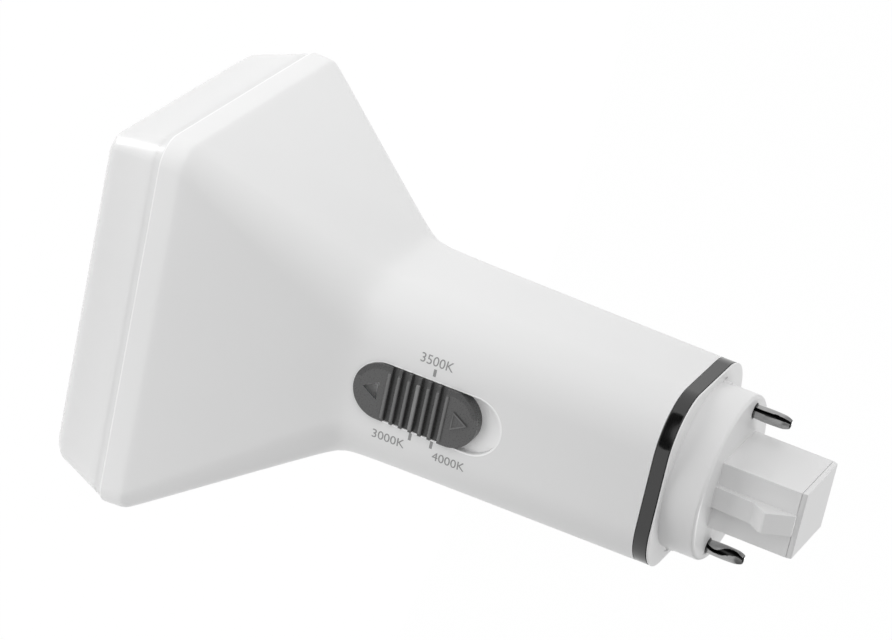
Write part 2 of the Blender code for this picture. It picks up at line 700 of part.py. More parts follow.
def latch_outline(side):
    """Side view of a latch ridge as (y, z) points, from the drum towards the post's end."""
    face = POST_DEPTH / 2
    rest = DRUM_FACE_Z + LATCH_REST_LENGTH
    crest = rest + LATCH_RAMP_LENGTH
    points = [(face - FUSE, DRUM_FACE_Z - FUSE), (face + LATCH_ROOT_RISE, DRUM_FACE_Z - FUSE),
              (face + LATCH_REST_RISE, rest), (face + LATCH_CREST_RISE, crest),
              (face + LATCH_CREST_RISE, crest + LATCH_CREST_LENGTH),
              (face + LATCH_TIP_RISE, POST_END_Z - LATCH_END_MARGIN),
              (face - FUSE, POST_END_Z - LATCH_END_MARGIN)]
    return [(side * y, z) for y, z in points]


def make_base_cap():
    """Plug moulding: skirt in the neck, flange, drum, and the keyed post with its latches."""
    corner = NECK_CORNER - (NECK_HALF - CAP_HALF)
    skirt = loft("base_cap", [rounded_loop(CAP_HALF, CAP_HALF, corner, z)
                              for z in (CAP_SKIRT_Z, FLANGE_Z + FLANGE_THICKNESS / 2)])
    half = NECK_HALF - FLANGE_INSET
    edge = FLANGE_THICKNESS / 3
    flange = loft("cap_flange", [
        rounded_loop(half, half, NECK_CORNER - FLANGE_INSET, FLANGE_Z),
        rounded_loop(half, half, NECK_CORNER - FLANGE_INSET, DRUM_Z - edge),
        rounded_loop(half - edge, half - edge, NECK_CORNER - FLANGE_INSET - edge, DRUM_Z)])
    combine(skirt, flange, "UNION")

    drum_profile = [(DRUM_RADIUS, FLANGE_Z + FLANGE_THICKNESS / 4)]
    for step in range(ARC_STEPS + 1):
        angle = pi / 2 * step / ARC_STEPS
        drum_profile.append((DRUM_RADIUS - DRUM_ROUND * (1 - cos(angle)),
                             DRUM_FACE_Z - DRUM_ROUND * (1 - sin(angle))))
    drum = turned("cap_drum", drum_profile, 2 * ROUND_STEPS)
    combine(skirt, drum, "UNION")

    post = loft("cap_post", [
        rounded_loop(POST_WIDTH / 2, POST_DEPTH / 2, POST_CORNER, DRUM_FACE_Z - DRUM_FACE_WALL / 2),
        rounded_loop(POST_WIDTH / 2, POST_DEPTH / 2, POST_CORNER, POST_END_Z - POST_LIP),
        rounded_loop(POST_WIDTH / 2 - POST_CORNER, POST_DEPTH / 2 - POST_LIP_DEPTH, POST_CORNER, POST_END_Z)])
    combine(skirt, post, "UNION")
    for side in (-1, 1):
        ridge = prism("latch_ridge", latch_outline(side), -LATCH_WIDTH / 2, LATCH_WIDTH / 2, "X")
        combine(skirt, ridge, "UNION")
        combine(skirt, snap_bead(side, 0.0), "UNION")
    for x, y in pin_places():
        direction = Vector((x, y)).normalized()
        centre = direction * (DRUM_RADIUS + NOTCH_RISE - NOTCH_RADIUS)
        boss = loft("notch_boss", [circle_loop(NOTCH_RADIUS, z, centre, ROUND_STEPS // 2)
                                   for z in (DRUM_Z - FLANGE_THICKNESS / 2, DRUM_Z + NOTCH_HEIGHT)])
        combine(skirt, boss, "UNION")

    room = CAP_HALF - CAP_WALL
    room_corner = corner - CAP_WALL
    skirt_room = loft("skirt_room", [rounded_loop(room, room, room_corner, z)
                                     for z in (CAP_SKIRT_Z - FUSE, FLANGE_Z - CAP_WALL)])
    combine(skirt, skirt_room, "DIFFERENCE")
    drum_room = loft("drum_room", [rounded_loop(DRUM_CAVITY_X, DRUM_CAVITY_Y, DRUM_CAVITY_CORNER, z)
                                   for z in (FLANGE_Z - CAP_WALL - FUSE, DRUM_FACE_Z - DRUM_FACE_WALL)])
    combine(skirt, drum_room, "DIFFERENCE")
    post_room = box("post_room", (POST_WALL - POST_WIDTH / 2, POST_WALL - POST_DEPTH / 2,
                                  DRUM_FACE_Z - DRUM_FACE_WALL - FUSE),
                    (POST_WIDTH / 2 - POST_WALL, POST_DEPTH / 2 - POST_WALL, POST_END_Z - POST_WALL))
    combine(skirt, post_room, "DIFFERENCE")

    cuts = []
    for x, y in pin_places():
        cuts.append(loft("pin_hole", [circle_loop(PIN_RADIUS + GAP, z, (x, y), ROUND_STEPS // 2)
                                      for z in (FLANGE_Z - CAP_WALL - FUSE, DRUM_FACE_Z + FUSE)]))
    combine(skirt, joined("pin_holes", cuts), "DIFFERENCE")
    return finish("base_cap", skirt, white_plastic(), smooth=True)


def seam_loop(outer_radius, z):
    """Section of the rolled tube: outer arc, then the inner arc back, open at the seam."""
    steps = 3 * CORNER_STEPS
    half_seam = PIN_SEAM_ANGLE / 2
    sweep = 2 * pi - PIN_SEAM_ANGLE
    points = []
    for radius, direction in ((outer_radius, 1), (outer_radius - PIN_WALL, -1)):
        for k in range(steps + 1):
            share = k / steps if direction > 0 else 1 - k / steps
            angle = PIN_SEAM_FACING + half_seam + sweep * share
            points.append(Vector((radius * cos(angle), radius * sin(angle), z)))
    return points


def make_pins():
    """Two hollow contact pins, rolled from sheet, faintly bulged, with a tapered nose."""
    bottom = FLANGE_Z - CAP_WALL + GAP
    top = DRUM_FACE_Z + PIN_LENGTH
    for number, (x, y) in enumerate(pin_places(), 1):
        loops = [seam_loop(PIN_RADIUS, bottom), seam_loop(PIN_RADIUS, DRUM_FACE_Z)]
        bulge = PIN_LENGTH - PIN_NOSE_LENGTH
        for step in range(1, ARC_STEPS + 1):
            share = step / ARC_STEPS
            loops.append(seam_loop(PIN_RADIUS + PIN_BULGE * sin(pi * share), DRUM_FACE_Z + bulge * share))
        for step in range(1, ARC_STEPS + 1):
            share = step / ARC_STEPS
            radius = PIN_RADIUS - (PIN_RADIUS - PIN_NOSE_RADIUS) * share ** 2
            loops.append(seam_loop(radius, top - PIN_NOSE_LENGTH * (1 - share)))
        pin = loft("contact_pin_%d" % number, loops)
        place(pin, (x, y, 0.0))
        finish("contact_pin_%d" % number, pin, nickel(), smooth=True)


def make_heat_spreader():
    """Stamped aluminium tray that lies in the funnel on the screw bosses."""
    top = SPREADER_Z + SPREADER_THICKNESS + SPREADER_RISE
    inset = SHELL_WALL + GAP / cos(FUNNEL_ANGLE_X)
    tray = loft("heat_spreader", [
        shell_loop(SPREADER_Z, inset), shell_loop(top, inset),
        shell_loop(top, inset + SPREADER_WALL),
        shell_loop(SPREADER_Z + SPREADER_THICKNESS, inset + SPREADER_WALL)])
    combine(tray, board_holes("tray_holes"), "DIFFERENCE")
    return finish("heat_spreader", tray, sheet_aluminium(), smooth=True)


def board_holes(name):
    """Screw holes and the middle wire hole through tray and lamp board."""
    low = LAMP_BOARD_Z - FUSE
    high = SPREADER_Z + SPREADER_THICKNESS + FUSE
    steps = ROUND_STEPS // 2
    holes = [loft("hole", [circle_loop(SCREW_RADIUS + GAP, z, centre, steps) for z in (low, high)])
             for centre in screw_places()]
    holes.append(loft("hole", [circle_loop(WIRE_HOLE_RADIUS, z, steps=steps) for z in (low, high)]))
    return joined(name, holes)


def make_lamp_board():
    """Aluminium-core board with its light-emitting packages soldered on the lens side."""
    board = loft("lamp_board", [
        rounded_loop(LAMP_BOARD_X, LAMP_BOARD_Y, LAMP_BOARD_CORNER, z)
        for z in (LAMP_BOARD_Z, LAMP_BOARD_Z + LAMP_BOARD_THICKNESS)])
    chips = []
    for column in range(CHIP_COLUMNS):
        for row in range(CHIP_ROWS):
            x = (column - (CHIP_COLUMNS - 1) / 2) * CHIP_PITCH_X
            y = (row - (CHIP_ROWS - 1) / 2) * CHIP_PITCH_Y
            chips.append(box("chip", (x - CHIP_LENGTH / 2, y - CHIP_WIDTH / 2, LAMP_BOARD_Z - CHIP_HEIGHT),
                             (x + CHIP_LENGTH / 2, y + CHIP_WIDTH / 2, LAMP_BOARD_Z + FUSE)))
    combine(board, joined("light_chips", chips), "UNION")
    combine(board, board_holes("board_holes"), "DIFFERENCE")
    finish("lamp_board", board, board_white())


def screw_tip_z():
    return LAMP_BOARD_Z - GAP + SCREW_LENGTH


def make_screws():
    """Four pan-head screws through lamp board and tray into the housing's bosses."""
    seat = LAMP_BOARD_Z - GAP
    profile = [(SCREW_HEAD_RADIUS * 0.7, seat - SCREW_HEAD_HEIGHT),
               (SCREW_HEAD_RADIUS, seat - SCREW_HEAD_HEIGHT * 0.6),
               (SCREW_HEAD_RADIUS, seat), (SCREW_RADIUS, seat),
               (SCREW_RADIUS, screw_tip_z() - SCREW_RADIUS), (SCREW_RADIUS / 3, screw_tip_z())]
    for number, (x, y) in enumerate(screw_places(), 1):
        screw = turned("board_screw_%d" % number, profile, ROUND_STEPS // 2)
        place(screw, (x, y, 0.0))
        head = seat - SCREW_HEAD_HEIGHT
        wide = SCREW_HEAD_RADIUS * 0.6
        narrow = SCREW_DRIVE / 2
        cross = [(wide, narrow), (narrow, narrow), (narrow, wide), (-narrow, wide), (-narrow, narrow),
                 (-wide, narrow), (-wide, -narrow), (-narrow, -narrow), (-narrow, -wide),
                 (narrow, -wide), (narrow, -narrow), (wide, -narrow)]
        drive = prism("drive_%d" % number, cross, head - FUSE, head + SCREW_DRIVE, "Z")
        place(drive, (x, y, 0.0))
        combine(screw, drive, "DIFFERENCE")
        finish("board_screw_%d" % number, screw, steel())


def make_driver_board():
    board = box("driver_board", (-BOARD_HALF, -BOARD_SWITCH_FACE, BOARD_BOTTOM_Z),
                (BOARD_HALF, BOARD_PART_FACE, BOARD_TOP_Z))
    return finish("driver_board", board, board_laminate())


def make_transformer(x, z):
    """Ferrite core with two windows, and the winding round its middle limb."""
    height = CORE_THICKNESS + 2 * GAP + 2 * WINDING_WALL
    middle_y = PART_Y + height / 2
    half = CORE_SIZE / 2
    limb = CORE_LIMB / 2
    core = box("transformer_core", (x - half, middle_y - CORE_THICKNESS / 2, z - half),
               (x + half, middle_y + CORE_THICKNESS / 2, z + half))
    side_limb = CORE_LIMB / 2
    windows = joined("core_windows", [
        box("window", (x + low, middle_y - CORE_THICKNESS, z - half + side_limb),
            (x + high, middle_y + CORE_THICKNESS, z + half - side_limb))
        for low, high in ((-half + side_limb, -limb), (limb, half - side_limb))])
    combine(core, windows, "DIFFERENCE")
    finish("transformer_core", core, material("ferrite", (0.07, 0.07, 0.075), 0.6))

    inner_x, inner_y = limb + GAP, CORE_THICKNESS / 2 + GAP
    outer_x = min(inner_x + WINDING_WALL, half - side_limb - GAP)
    outer_y = inner_y + WINDING_WALL
    reach = half - side_limb - GAP
    loops = []
    walls = ((outer_x, outer_y, (-reach, reach)), (inner_x, inner_y, (reach, -reach)))
    for reach_x, reach_y, levels in walls:
        corner = min(reach_x, reach_y) / 3
        for level in levels:
            flat = rounded_loop(reach_x, reach_y, corner, level)
            loops.append([Vector((x + p.x, middle_y + p.y, z + p.z)) for p in flat])
    winding = loft("transformer_winding", loops, capped=False)
    finish("transformer_winding", winding, material("winding_tape", (0.75, 0.62, 0.18), 0.5))


def make_can(name, radius, length, colour):
    """Electrolytic capacitor along Z: round can with the crimp groove near its lead end."""
    profile = [(radius - CAN_EDGE, 0.0), (radius, CAN_EDGE), (radius, length * 0.12),
               (radius - CAN_GROOVE, length * 0.16), (radius, length * 0.20),
               (radius, length - CAN_EDGE), (radius - CAN_EDGE, length)]
    can = turned(name, profile, ROUND_STEPS // 2)
    return finish(name, can, material(name + "_sleeve", colour, 0.4), smooth=True)


def shared_out(lengths):
    """Middles of parts in a column down the board, with equal room between them."""
    top = BOARD_TOP_Z - PAD_ROOM
    bottom = BOARD_BOTTOM_Z + HEADER_LENGTH + 3 * GAP
    room = (top - bottom - sum(lengths)) / (len(lengths) - 1)
    middles = []
    for length in lengths:
        middles.append(top - length / 2)
        top -= length + room
    return middles


def make_components():
    """Parts of the driver, in two columns on the board's +Y face and one on its -Y face."""
    across = CORE_SIZE + COLUMN_GAP + 2 * INPUT_CAP_RADIUS
    left = (CORE_SIZE - across) / 2
    right = across / 2 - INPUT_CAP_RADIUS
    fuse_z, choke_z, core_z = shared_out([FUSE_LENGTH, 2 * CHOKE_RADIUS, CORE_SIZE])
    disc_z, film_z, input_z, output_z = shared_out(
        [VARISTOR_THICKNESS, FILM_CAP_LENGTH, INPUT_CAP_LENGTH, 2 * OUTPUT_CAP_RADIUS])

    fuse_profile = [(FUSE_RADIUS - FUSE_WAIST, 0.0), (FUSE_RADIUS, FUSE_LENGTH * 0.08),
                    (FUSE_RADIUS, FUSE_LENGTH * 0.22), (FUSE_RADIUS - FUSE_WAIST, FUSE_LENGTH * 0.3),
                    (FUSE_RADIUS - FUSE_WAIST, FUSE_LENGTH * 0.7), (FUSE_RADIUS, FUSE_LENGTH * 0.78),
                    (FUSE_RADIUS, FUSE_LENGTH * 0.92), (FUSE_RADIUS - FUSE_WAIST, FUSE_LENGTH)]
    fuse = turned("fuse_resistor", fuse_profile, ROUND_STEPS // 2)
    place(fuse, (left, PART_Y + FUSE_RADIUS, fuse_z - FUSE_LENGTH / 2))
    finish("fuse_resistor", fuse, material("fuse_coat", (0.35, 0.50, 0.62), 0.5), smooth=True)

    flat = VARISTOR_RADIUS - CAN_EDGE
    disc_profile = [(flat, 0.0), (VARISTOR_RADIUS, CAN_EDGE),
                    (VARISTOR_RADIUS, VARISTOR_THICKNESS - CAN_EDGE), (flat, VARISTOR_THICKNESS)]
    disc = turned("varistor", disc_profile, ROUND_STEPS // 2)
    place(disc, (right, PART_Y + VARISTOR_RADIUS, disc_z - VARISTOR_THICKNESS / 2))
    finish("varistor", disc, material("varistor_coat", (0.08, 0.20, 0.45), 0.45), smooth=True)

    film = box("film_capacitor", (right - FILM_CAP_WIDTH / 2, PART_Y, film_z - FILM_CAP_LENGTH / 2),
               (right + FILM_CAP_WIDTH / 2, PART_Y + FILM_CAP_HEIGHT, film_z + FILM_CAP_LENGTH / 2),
               bevel=GAP)
    finish("film_capacitor", film, material("film_case", (0.70, 0.62, 0.12), 0.45))

    waist = CHOKE_RADIUS - CHOKE_WAIST
    choke_profile = [(CHOKE_RADIUS, 0.0), (CHOKE_RADIUS, CHOKE_FLANGE), (waist, CHOKE_FLANGE),
                     (waist, CHOKE_HEIGHT - CHOKE_FLANGE), (CHOKE_RADIUS, CHOKE_HEIGHT - CHOKE_FLANGE),
                     (CHOKE_RADIUS, CHOKE_HEIGHT)]
    choke = turned("choke", choke_profile, ROUND_STEPS // 2)
    place(choke, (left, PART_Y, choke_z), (-pi / 2, 0.0, 0.0))
    finish("choke", choke, material("choke_core", (0.10, 0.09, 0.09), 0.6), smooth=True)

    make_transformer(left, core_z)
    input_can = make_can("input_capacitor", INPUT_CAP_RADIUS, INPUT_CAP_LENGTH, (0.05, 0.05, 0.07))
    place(input_can, (right, PART_Y + INPUT_CAP_RADIUS, input_z - INPUT_CAP_LENGTH / 2))
    output_can = make_can("output_capacitor", OUTPUT_CAP_RADIUS, OUTPUT_CAP_LENGTH, (0.04, 0.08, 0.16))
    place(output_can, (right, PART_Y, output_z), (-pi / 2, 0.0, 0.0))

    header = box("output_header", (-HEADER_WIDTH / 2, PART_Y, BOARD_BOTTOM_Z + GAP),
                 (HEADER_WIDTH / 2, PART_Y + HEADER_HEIGHT, BOARD_BOTTOM_Z + GAP + HEADER_LENGTH))
    finish("output_header", header, board_white())

    face_y = -BOARD_SWITCH_FACE - GAP
    bridge_z = BOARD_TOP_Z - PAD_ROOM
    bridge = box("bridge_rectifier", (-BRIDGE_WIDTH / 2, face_y - BRIDGE_HEIGHT, bridge_z - BRIDGE_LENGTH),
                 (BRIDGE_WIDTH / 2, face_y, bridge_z), bevel=GAP)
    finish("bridge_rectifier", bridge, dark_plastic())

    ic_z = SELECTOR_Z - SWITCH_LENGTH
    body = box("controller_chip", (-CHIP_IC_WIDTH / 2, face_y - CHIP_IC_HEIGHT, ic_z - CHIP_IC_LENGTH / 2),
               (CHIP_IC_WIDTH / 2, face_y, ic_z + CHIP_IC_LENGTH / 2))
    pitch = CHIP_IC_LENGTH / CHIP_IC_LEGS
    legs = []
    for k in range(CHIP_IC_LEGS):
        z = ic_z + (k - (CHIP_IC_LEGS - 1) / 2) * pitch
        for side in (-1, 1):
            edge = side * CHIP_IC_WIDTH / 2
            near, far = sorted((edge - side * FUSE, edge + 2 * side * CHIP_IC_LEG))
            legs.append(box("leg", (near, face_y - CHIP_IC_HEIGHT / 2, z - CHIP_IC_LEG / 2),
                            (far, face_y - CHIP_IC_HEIGHT / 8, z + CHIP_IC_LEG / 2)))
    combine(body, joined("chip_legs", legs), "UNION")
    finish("controller_chip", body, dark_plastic())


def smooth_route(points, spacing):
    """Even points along a smooth curve through the given ones."""
    guide = [Vector(point) for point in points]
    ends = [2 * guide[0] - guide[1]] + guide + [2 * guide[-1] - guide[-2]]
    route = []
    for a, b, c, d in zip(ends, ends[1:], ends[2:], ends[3:]):
        pieces = max(1, ceil((c - b).length / spacing))
        for k in range(pieces):
            t = k / pieces
            route.append(0.5 * (2 * b + (c - a) * t + (2 * a - 5 * b + 4 * c - d) * t ** 2
                                + (3 * b - a - 3 * c + d) * t ** 3))
    return route + [guide[-1]]


def make_wire(name, points, colour):
    curve = bpy.data.curves.new(name, "CURVE")
    curve.dimensions = "3D"
    curve.bevel_depth = WIRE_RADIUS
    curve.bevel_resolution = 2
    curve.use_fill_caps = True
    route = smooth_route(points, 5 * WIRE_RADIUS)
    spline = curve.splines.new("POLY")
    spline.points.add(len(route) - 1)
    for knot, point in zip(spline.points, route):
        knot.co = (*point, 1.0)
    wire = bpy.data.objects.new(name, curve)
    bpy.context.scene.collection.objects.link(wire)
    curve.materials.append(material(name + "_sleeve", colour, 0.45))
    return wire


def make_wires():
    """Two mains wires from the pins to the board, three lamp wires down to the lamp board."""
    for number, (x, y) in enumerate(pin_places(), 1):
        side = 1 if x > 0 else -1
        pad_x = side * (BOARD_HALF - PAD_INSET)
        pad_z = BOARD_TOP_Z - PAD_DROP
        make_wire("mains_wire_%d" % number, [
            (x, y, DRUM_Z), (x, y, FLANGE_Z - CAP_WALL), (x - 2 * side * GAP, y, FLANGE_Z - 2.5 * CAP_WALL),
            (pad_x + side * WIRE_RADIUS, (y + PART_Y) / 2 + WIRE_BEND, BOARD_TOP_Z + WIRE_BEND / 2),
            (pad_x, PART_Y + 3 * WIRE_RADIUS, pad_z), (pad_x, PART_Y, pad_z)], (0.85, 0.85, 0.82))

    colours = ((0.55, 0.04, 0.03), (0.75, 0.65, 0.10), (0.85, 0.85, 0.85))
    header_y = PART_Y + HEADER_HEIGHT / 2
    connector_z = LAMP_BOARD_Z - GAP - CONNECTOR_HEIGHT / 2
    connector_y = WIRE_HOLE_RADIUS + 2 * GAP
    for number, colour in enumerate(colours):
        x = (number - 1) * WIRE_PITCH
        make_wire("lamp_wire_%d" % (number + 1), [
            (x, header_y, BOARD_BOTTOM_Z), (x, header_y, BOARD_BOTTOM_Z - 2 * WIRE_BEND),
            (x, 0.0, SPREADER_Z + SPREADER_RISE), (x, 0.0, SPREADER_Z),
            (x, GAP, LAMP_BOARD_Z), (x, connector_y / 2, connector_z - GAP / 2),
            (x, connector_y - GAP, connector_z)], colour)
    seat_z = LAMP_BOARD_Z - GAP
    connector = box("lamp_connector", (-CONNECTOR_WIDTH / 2, connector_y, seat_z - CONNECTOR_HEIGHT),
                    (CONNECTOR_WIDTH / 2, connector_y + CONNECTOR_LENGTH, seat_z))
    finish("lamp_connector", connector, board_white())


def build():
    clear_scene()
    make_lens_cover()
    make_housing()
    make_accent_ring()
    make_base_cap()
    make_pins()
    make_knob()
    make_switch()
    make_heat_spreader()
    make_lamp_board()
    make_screws()
    make_driver_board()
    make_components()
    make_wires()


build()
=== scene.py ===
from math import atan, cos, pi, radians, sin, sqrt, tan

import bpy
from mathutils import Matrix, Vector


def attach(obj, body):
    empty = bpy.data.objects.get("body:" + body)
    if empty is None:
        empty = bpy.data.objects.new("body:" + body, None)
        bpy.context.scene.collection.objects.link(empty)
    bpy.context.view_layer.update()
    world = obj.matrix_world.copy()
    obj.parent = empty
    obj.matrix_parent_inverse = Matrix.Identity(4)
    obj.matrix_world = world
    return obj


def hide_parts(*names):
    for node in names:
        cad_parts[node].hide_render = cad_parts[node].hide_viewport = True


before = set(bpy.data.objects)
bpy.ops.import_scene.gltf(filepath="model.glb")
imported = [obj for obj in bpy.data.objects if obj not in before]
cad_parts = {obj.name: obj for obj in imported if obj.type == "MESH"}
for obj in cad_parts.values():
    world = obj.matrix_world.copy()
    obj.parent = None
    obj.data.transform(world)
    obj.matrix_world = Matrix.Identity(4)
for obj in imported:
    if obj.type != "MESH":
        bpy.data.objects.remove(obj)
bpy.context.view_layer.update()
mm = 0.001

# Photographer's camera: a long lens from the plug's side, tipped over so that
# the plug points to the lower right of the picture.
camera_data = bpy.data.cameras.new("camera")
camera_data.lens = 164.94
camera_data.sensor_width = 36.0
camera = bpy.data.objects.new("camera", camera_data)
camera.location = (-0.308086, -0.586688, 0.266443)
camera.rotation_euler = (radians(-48.836), radians(-62.690), radians(115.087))
bpy.context.scene.collection.objects.link(camera)
bpy.context.scene.camera = camera


# Housing: one injection moulding in white plastic, with the rim band, the
# straight-sided funnel and the square neck. Its outside is lightly grained.
head_x, head_y = 34.74 * mm, 29.37 * mm
head_corner = 4.59 * mm
rim_z, band_z, neck_end_z = 13.60 * mm, 17.63 * mm, 103.43 * mm
neck_half, neck_corner, neck_slope = 16.06 * mm, 9.40 * mm, tan(radians(0.51))
funnel_x, funnel_y = tan(radians(30.7)), tan(radians(21.9))
band_narrowing, break_blend, foot_blend = 0.10 * mm, 0.30 * mm, 1.08 * mm
shell_wall = 1.8 * mm
corner_cuts = 12


def open_object(name):
    """A new empty mesh object, in edit mode, for loops and primitives to go in."""
    if bpy.context.mode != "OBJECT":
        bpy.ops.object.mode_set(mode="OBJECT")
    bpy.ops.object.select_all(action="DESELECT")
    bpy.ops.mesh.primitive_plane_add(size=mm)
    piece = bpy.context.object
    piece.name = piece.data.name = name
    bpy.ops.object.mode_set(mode="EDIT")
    bpy.ops.mesh.delete(type="VERT")
    return piece


def rounded_loop(half_x, half_y, corner, z, cuts=corner_cuts):
    """A flat plane with rounded corners, left selected."""
    bpy.ops.mesh.select_all(action="DESELECT")
    bpy.ops.mesh.primitive_plane_add(size=2, location=(0, 0, z))
    bpy.ops.transform.resize(value=(half_x, half_y, 1), center_override=(0, 0, z))
    bpy.ops.mesh.bevel(affect="VERTICES", offset=corner, segments=cuts)


def loft_through(name, levels, cuts=corner_cuts):
    """An open skin through rounded rectangles of (half x, half y, corner, height)."""
    piece = open_object(name)
    for half_x, half_y, corner, z in levels:
        rounded_loop(half_x, half_y, corner, z, cuts)
        bpy.ops.mesh.delete(type="ONLY_FACE")
    bpy.ops.mesh.select_all(action="SELECT")
    bpy.ops.mesh.bridge_edge_loops(type="SINGLE")
    bpy.ops.mesh.select_all(action="SELECT")
    bpy.ops.mesh.normals_make_consistent(inside=False)
    bpy.ops.object.mode_set(mode="OBJECT")
    return piece


def apply_all(piece):
    """Apply every modifier of a piece in turn, with only that piece selected."""
    bpy.ops.object.select_all(action="DESELECT")
    bpy.context.view_layer.objects.active = piece
    piece.select_set(True)
    for modifier in list(piece.modifiers):
        bpy.ops.object.modifier_apply(modifier=modifier.name)


def cut_away(piece, cutter, operation="DIFFERENCE"):
    """Cut a shape out of a piece, or add it to the piece, and drop the shape."""
    change = piece.modifiers.new(cutter.name, "BOOLEAN")
    change.operation = operation
    change.solver = "EXACT"
    change.object = cutter
    apply_all(piece)
    bpy.data.objects.remove(cutter, do_unlink=True)


def soften(piece, width, segments=3, angle=40):
    """Round every edge sharper than the angle, and shade the rest smooth."""
    edge = piece.modifiers.new("edge", "BEVEL")
    edge.width = width
    edge.segments = segments
    edge.limit_method = "ANGLE"
    edge.angle_limit = radians(angle)
    edge.harden_normals = False
    apply_all(piece)
    shade(piece)


def shade(piece, angle=30):
    """Smooth shading between sharp edges, with the normals of the large faces kept flat."""
    bpy.ops.object.select_all(action="DESELECT")
    bpy.context.view_layer.objects.active = piece
    piece.select_set(True)
    bpy.ops.object.shade_smooth_by_angle(angle=radians(angle))
    flat = piece.modifiers.new("flat", "WEIGHTED_NORMAL")
    flat.keep_sharp = True
    apply_all(piece)


def side_reach(z, head, slope):
    """Half width of the housing at a height: band, then funnel, then neck."""
    band = head - band_narrowing * (z - rim_z) / (band_z - rim_z)
    funnel = head - band_narrowing - (z - band_z) * slope
    least = (band + funnel - sqrt((band - funnel) ** 2 + break_blend ** 2)) / 2
    neck = neck_half + (neck_end_z - z) * neck_slope
    return (least + neck + sqrt((least - neck) ** 2 + foot_blend ** 2)) / 2


def housing_level(z):
    """One plane of the housing, whose corners grow from the band to the neck."""
    foot = band_z + (head_x - neck_half) / funnel_x
    share = min(max((z - band_z) / (foot - band_z), 0), 1)
    corner = head_corner + (neck_corner - head_corner) * share
    return side_reach(z, head_x, funnel_x), side_reach(z, head_y, funnel_y), corner, z


heights = [rim_z, rim_z + 1.5 * mm, band_z - 1.0 * mm, band_z - 0.5 * mm, band_z - 0.2 * mm, band_z,
           band_z + 0.2 * mm, band_z + 0.5 * mm, band_z + 1.0 * mm, band_z + 3.0 * mm]
heights += [(25 + 5 * k) * mm for k in range(4)]
heights += [(42 + k) * mm for k in range(19)]
heights += [(64 + 8 * k) * mm for k in range(5)] + [neck_end_z]
housing = loft_through("housing_shell", [housing_level(z) for z in heights])
thickness = housing.modifiers.new("wall", "SOLIDIFY")
thickness.thickness = shell_wall
thickness.offset = -1
thickness.use_even_offset = True
apply_all(housing)

recess_centre, recess_half, recess_width = 63.7 * mm, 13.4 * mm, 10.4 * mm
neck_face = neck_half + (neck_end_z - recess_centre) * neck_slope
recess_floor = neck_face - 1.3 * mm


def stadium_block(name, width, half_length, centre, near, far):
    """A block with round ends along Z, from one depth in Y to another."""
    piece = open_object(name)
    bpy.ops.mesh.primitive_plane_add(size=2, location=(0, 0, 0))
    bpy.ops.transform.resize(value=(width / 2, half_length, 1), center_override=(0, 0, 0))
    bpy.ops.mesh.bevel(affect="VERTICES", offset=width / 2, segments=20, clamp_overlap=False)
    bpy.ops.mesh.select_all(action="SELECT")
    bpy.ops.mesh.remove_doubles(threshold=0.01 * mm)
    bpy.ops.mesh.select_all(action="SELECT")
    bpy.ops.mesh.extrude_region_move(TRANSFORM_OT_translate={"value": (0, 0, far - near)})
    bpy.ops.mesh.select_all(action="SELECT")
    bpy.ops.mesh.normals_make_consistent(inside=False)
    bpy.ops.object.mode_set(mode="OBJECT")
    for vertex in piece.data.vertices:
        x, y, z = vertex.co
        vertex.co = (x, near + z, centre + y)
    piece.data.flip_normals()
    return piece


cut_away(housing, stadium_block("recess", recess_width, recess_half, recess_centre,
                                -neck_face - 1 * mm, -recess_floor))
soften(housing, 0.14 * mm, angle=50)
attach(housing, "lamp")
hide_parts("housing")


class Flow:
    """A shader value. Python sums on it add Math nodes, and node() adds any other."""

    def __init__(self, tree, socket):
        self.tree = tree
        self.socket = socket

    def node(self, kind, settings=None, out=0, **links):
        """A new shader node, with its settings set and its inputs linked or given a value."""
        made = self.tree.nodes.new("ShaderNode" + kind)
        for name, value in (settings or {}).items():
            setattr(made, name, value)
        for name, value in links.items():
            self.link(made.inputs[name.replace("_", " ")], value)
        return Flow(self.tree, made.outputs[out])

    def link(self, socket, value):
        if isinstance(value, Flow):
            self.tree.links.new(value.socket, socket)
        else:
            socket.default_value = value

    def maths(self, operation, first, second=0.5):
        made = self.tree.nodes.new("ShaderNodeMath")
        made.operation = operation
        self.link(made.inputs[0], first)
        self.link(made.inputs[1], second)
        return Flow(self.tree, made.outputs[0])

    def __add__(self, other):
        return self.maths("ADD", self, other)

    def __sub__(self, other):
        return self.maths("SUBTRACT", self, other)

    def __rsub__(self, other):
        return self.maths("SUBTRACT", other, self)

    def __mul__(self, other):
        return self.maths("MULTIPLY", self, other)

    def __truediv__(self, other):
        return self.maths("DIVIDE", self, other)

    def __gt__(self, other):
        return self.maths("GREATER_THAN", self, other)

    def __lt__(self, other):
        return self.maths("LESS_THAN", self, other)

    __radd__ = __add__

    def tint(self, low, high):
        """A colour between two, by this value. A Mix node's colours are its sockets 6 and 7."""
        mix = self.tree.nodes.new("ShaderNodeMix")
        mix.data_type = "RGBA"
        self.link(mix.inputs[0], self)
        self.link(mix.inputs[6], low if isinstance(low, Flow) else (*low, 1))
        self.link(mix.inputs[7], high if isinstance(high, Flow) else (*high, 1))
        return Flow(self.tree, mix.outputs[2])


def new_finish(name, **constants):
    """A material with its constant sockets set; returns it, its shader and its object coordinates."""
    finish = bpy.data.materials.new(name)
    finish.use_nodes = True
    tree = finish.node_tree
    shader = tree.nodes["Principled BSDF"]
    for socket, value in constants.items():
        shader.inputs[socket.replace("_", " ")].default_value = value
    coordinates = tree.nodes.new("ShaderNodeTexCoord")
    return finish, shader, Flow(tree, coordinates.outputs["Object"])


def dress(piece, finish):
    piece.data.materials.clear()
    piece.data.materials.append(finish)


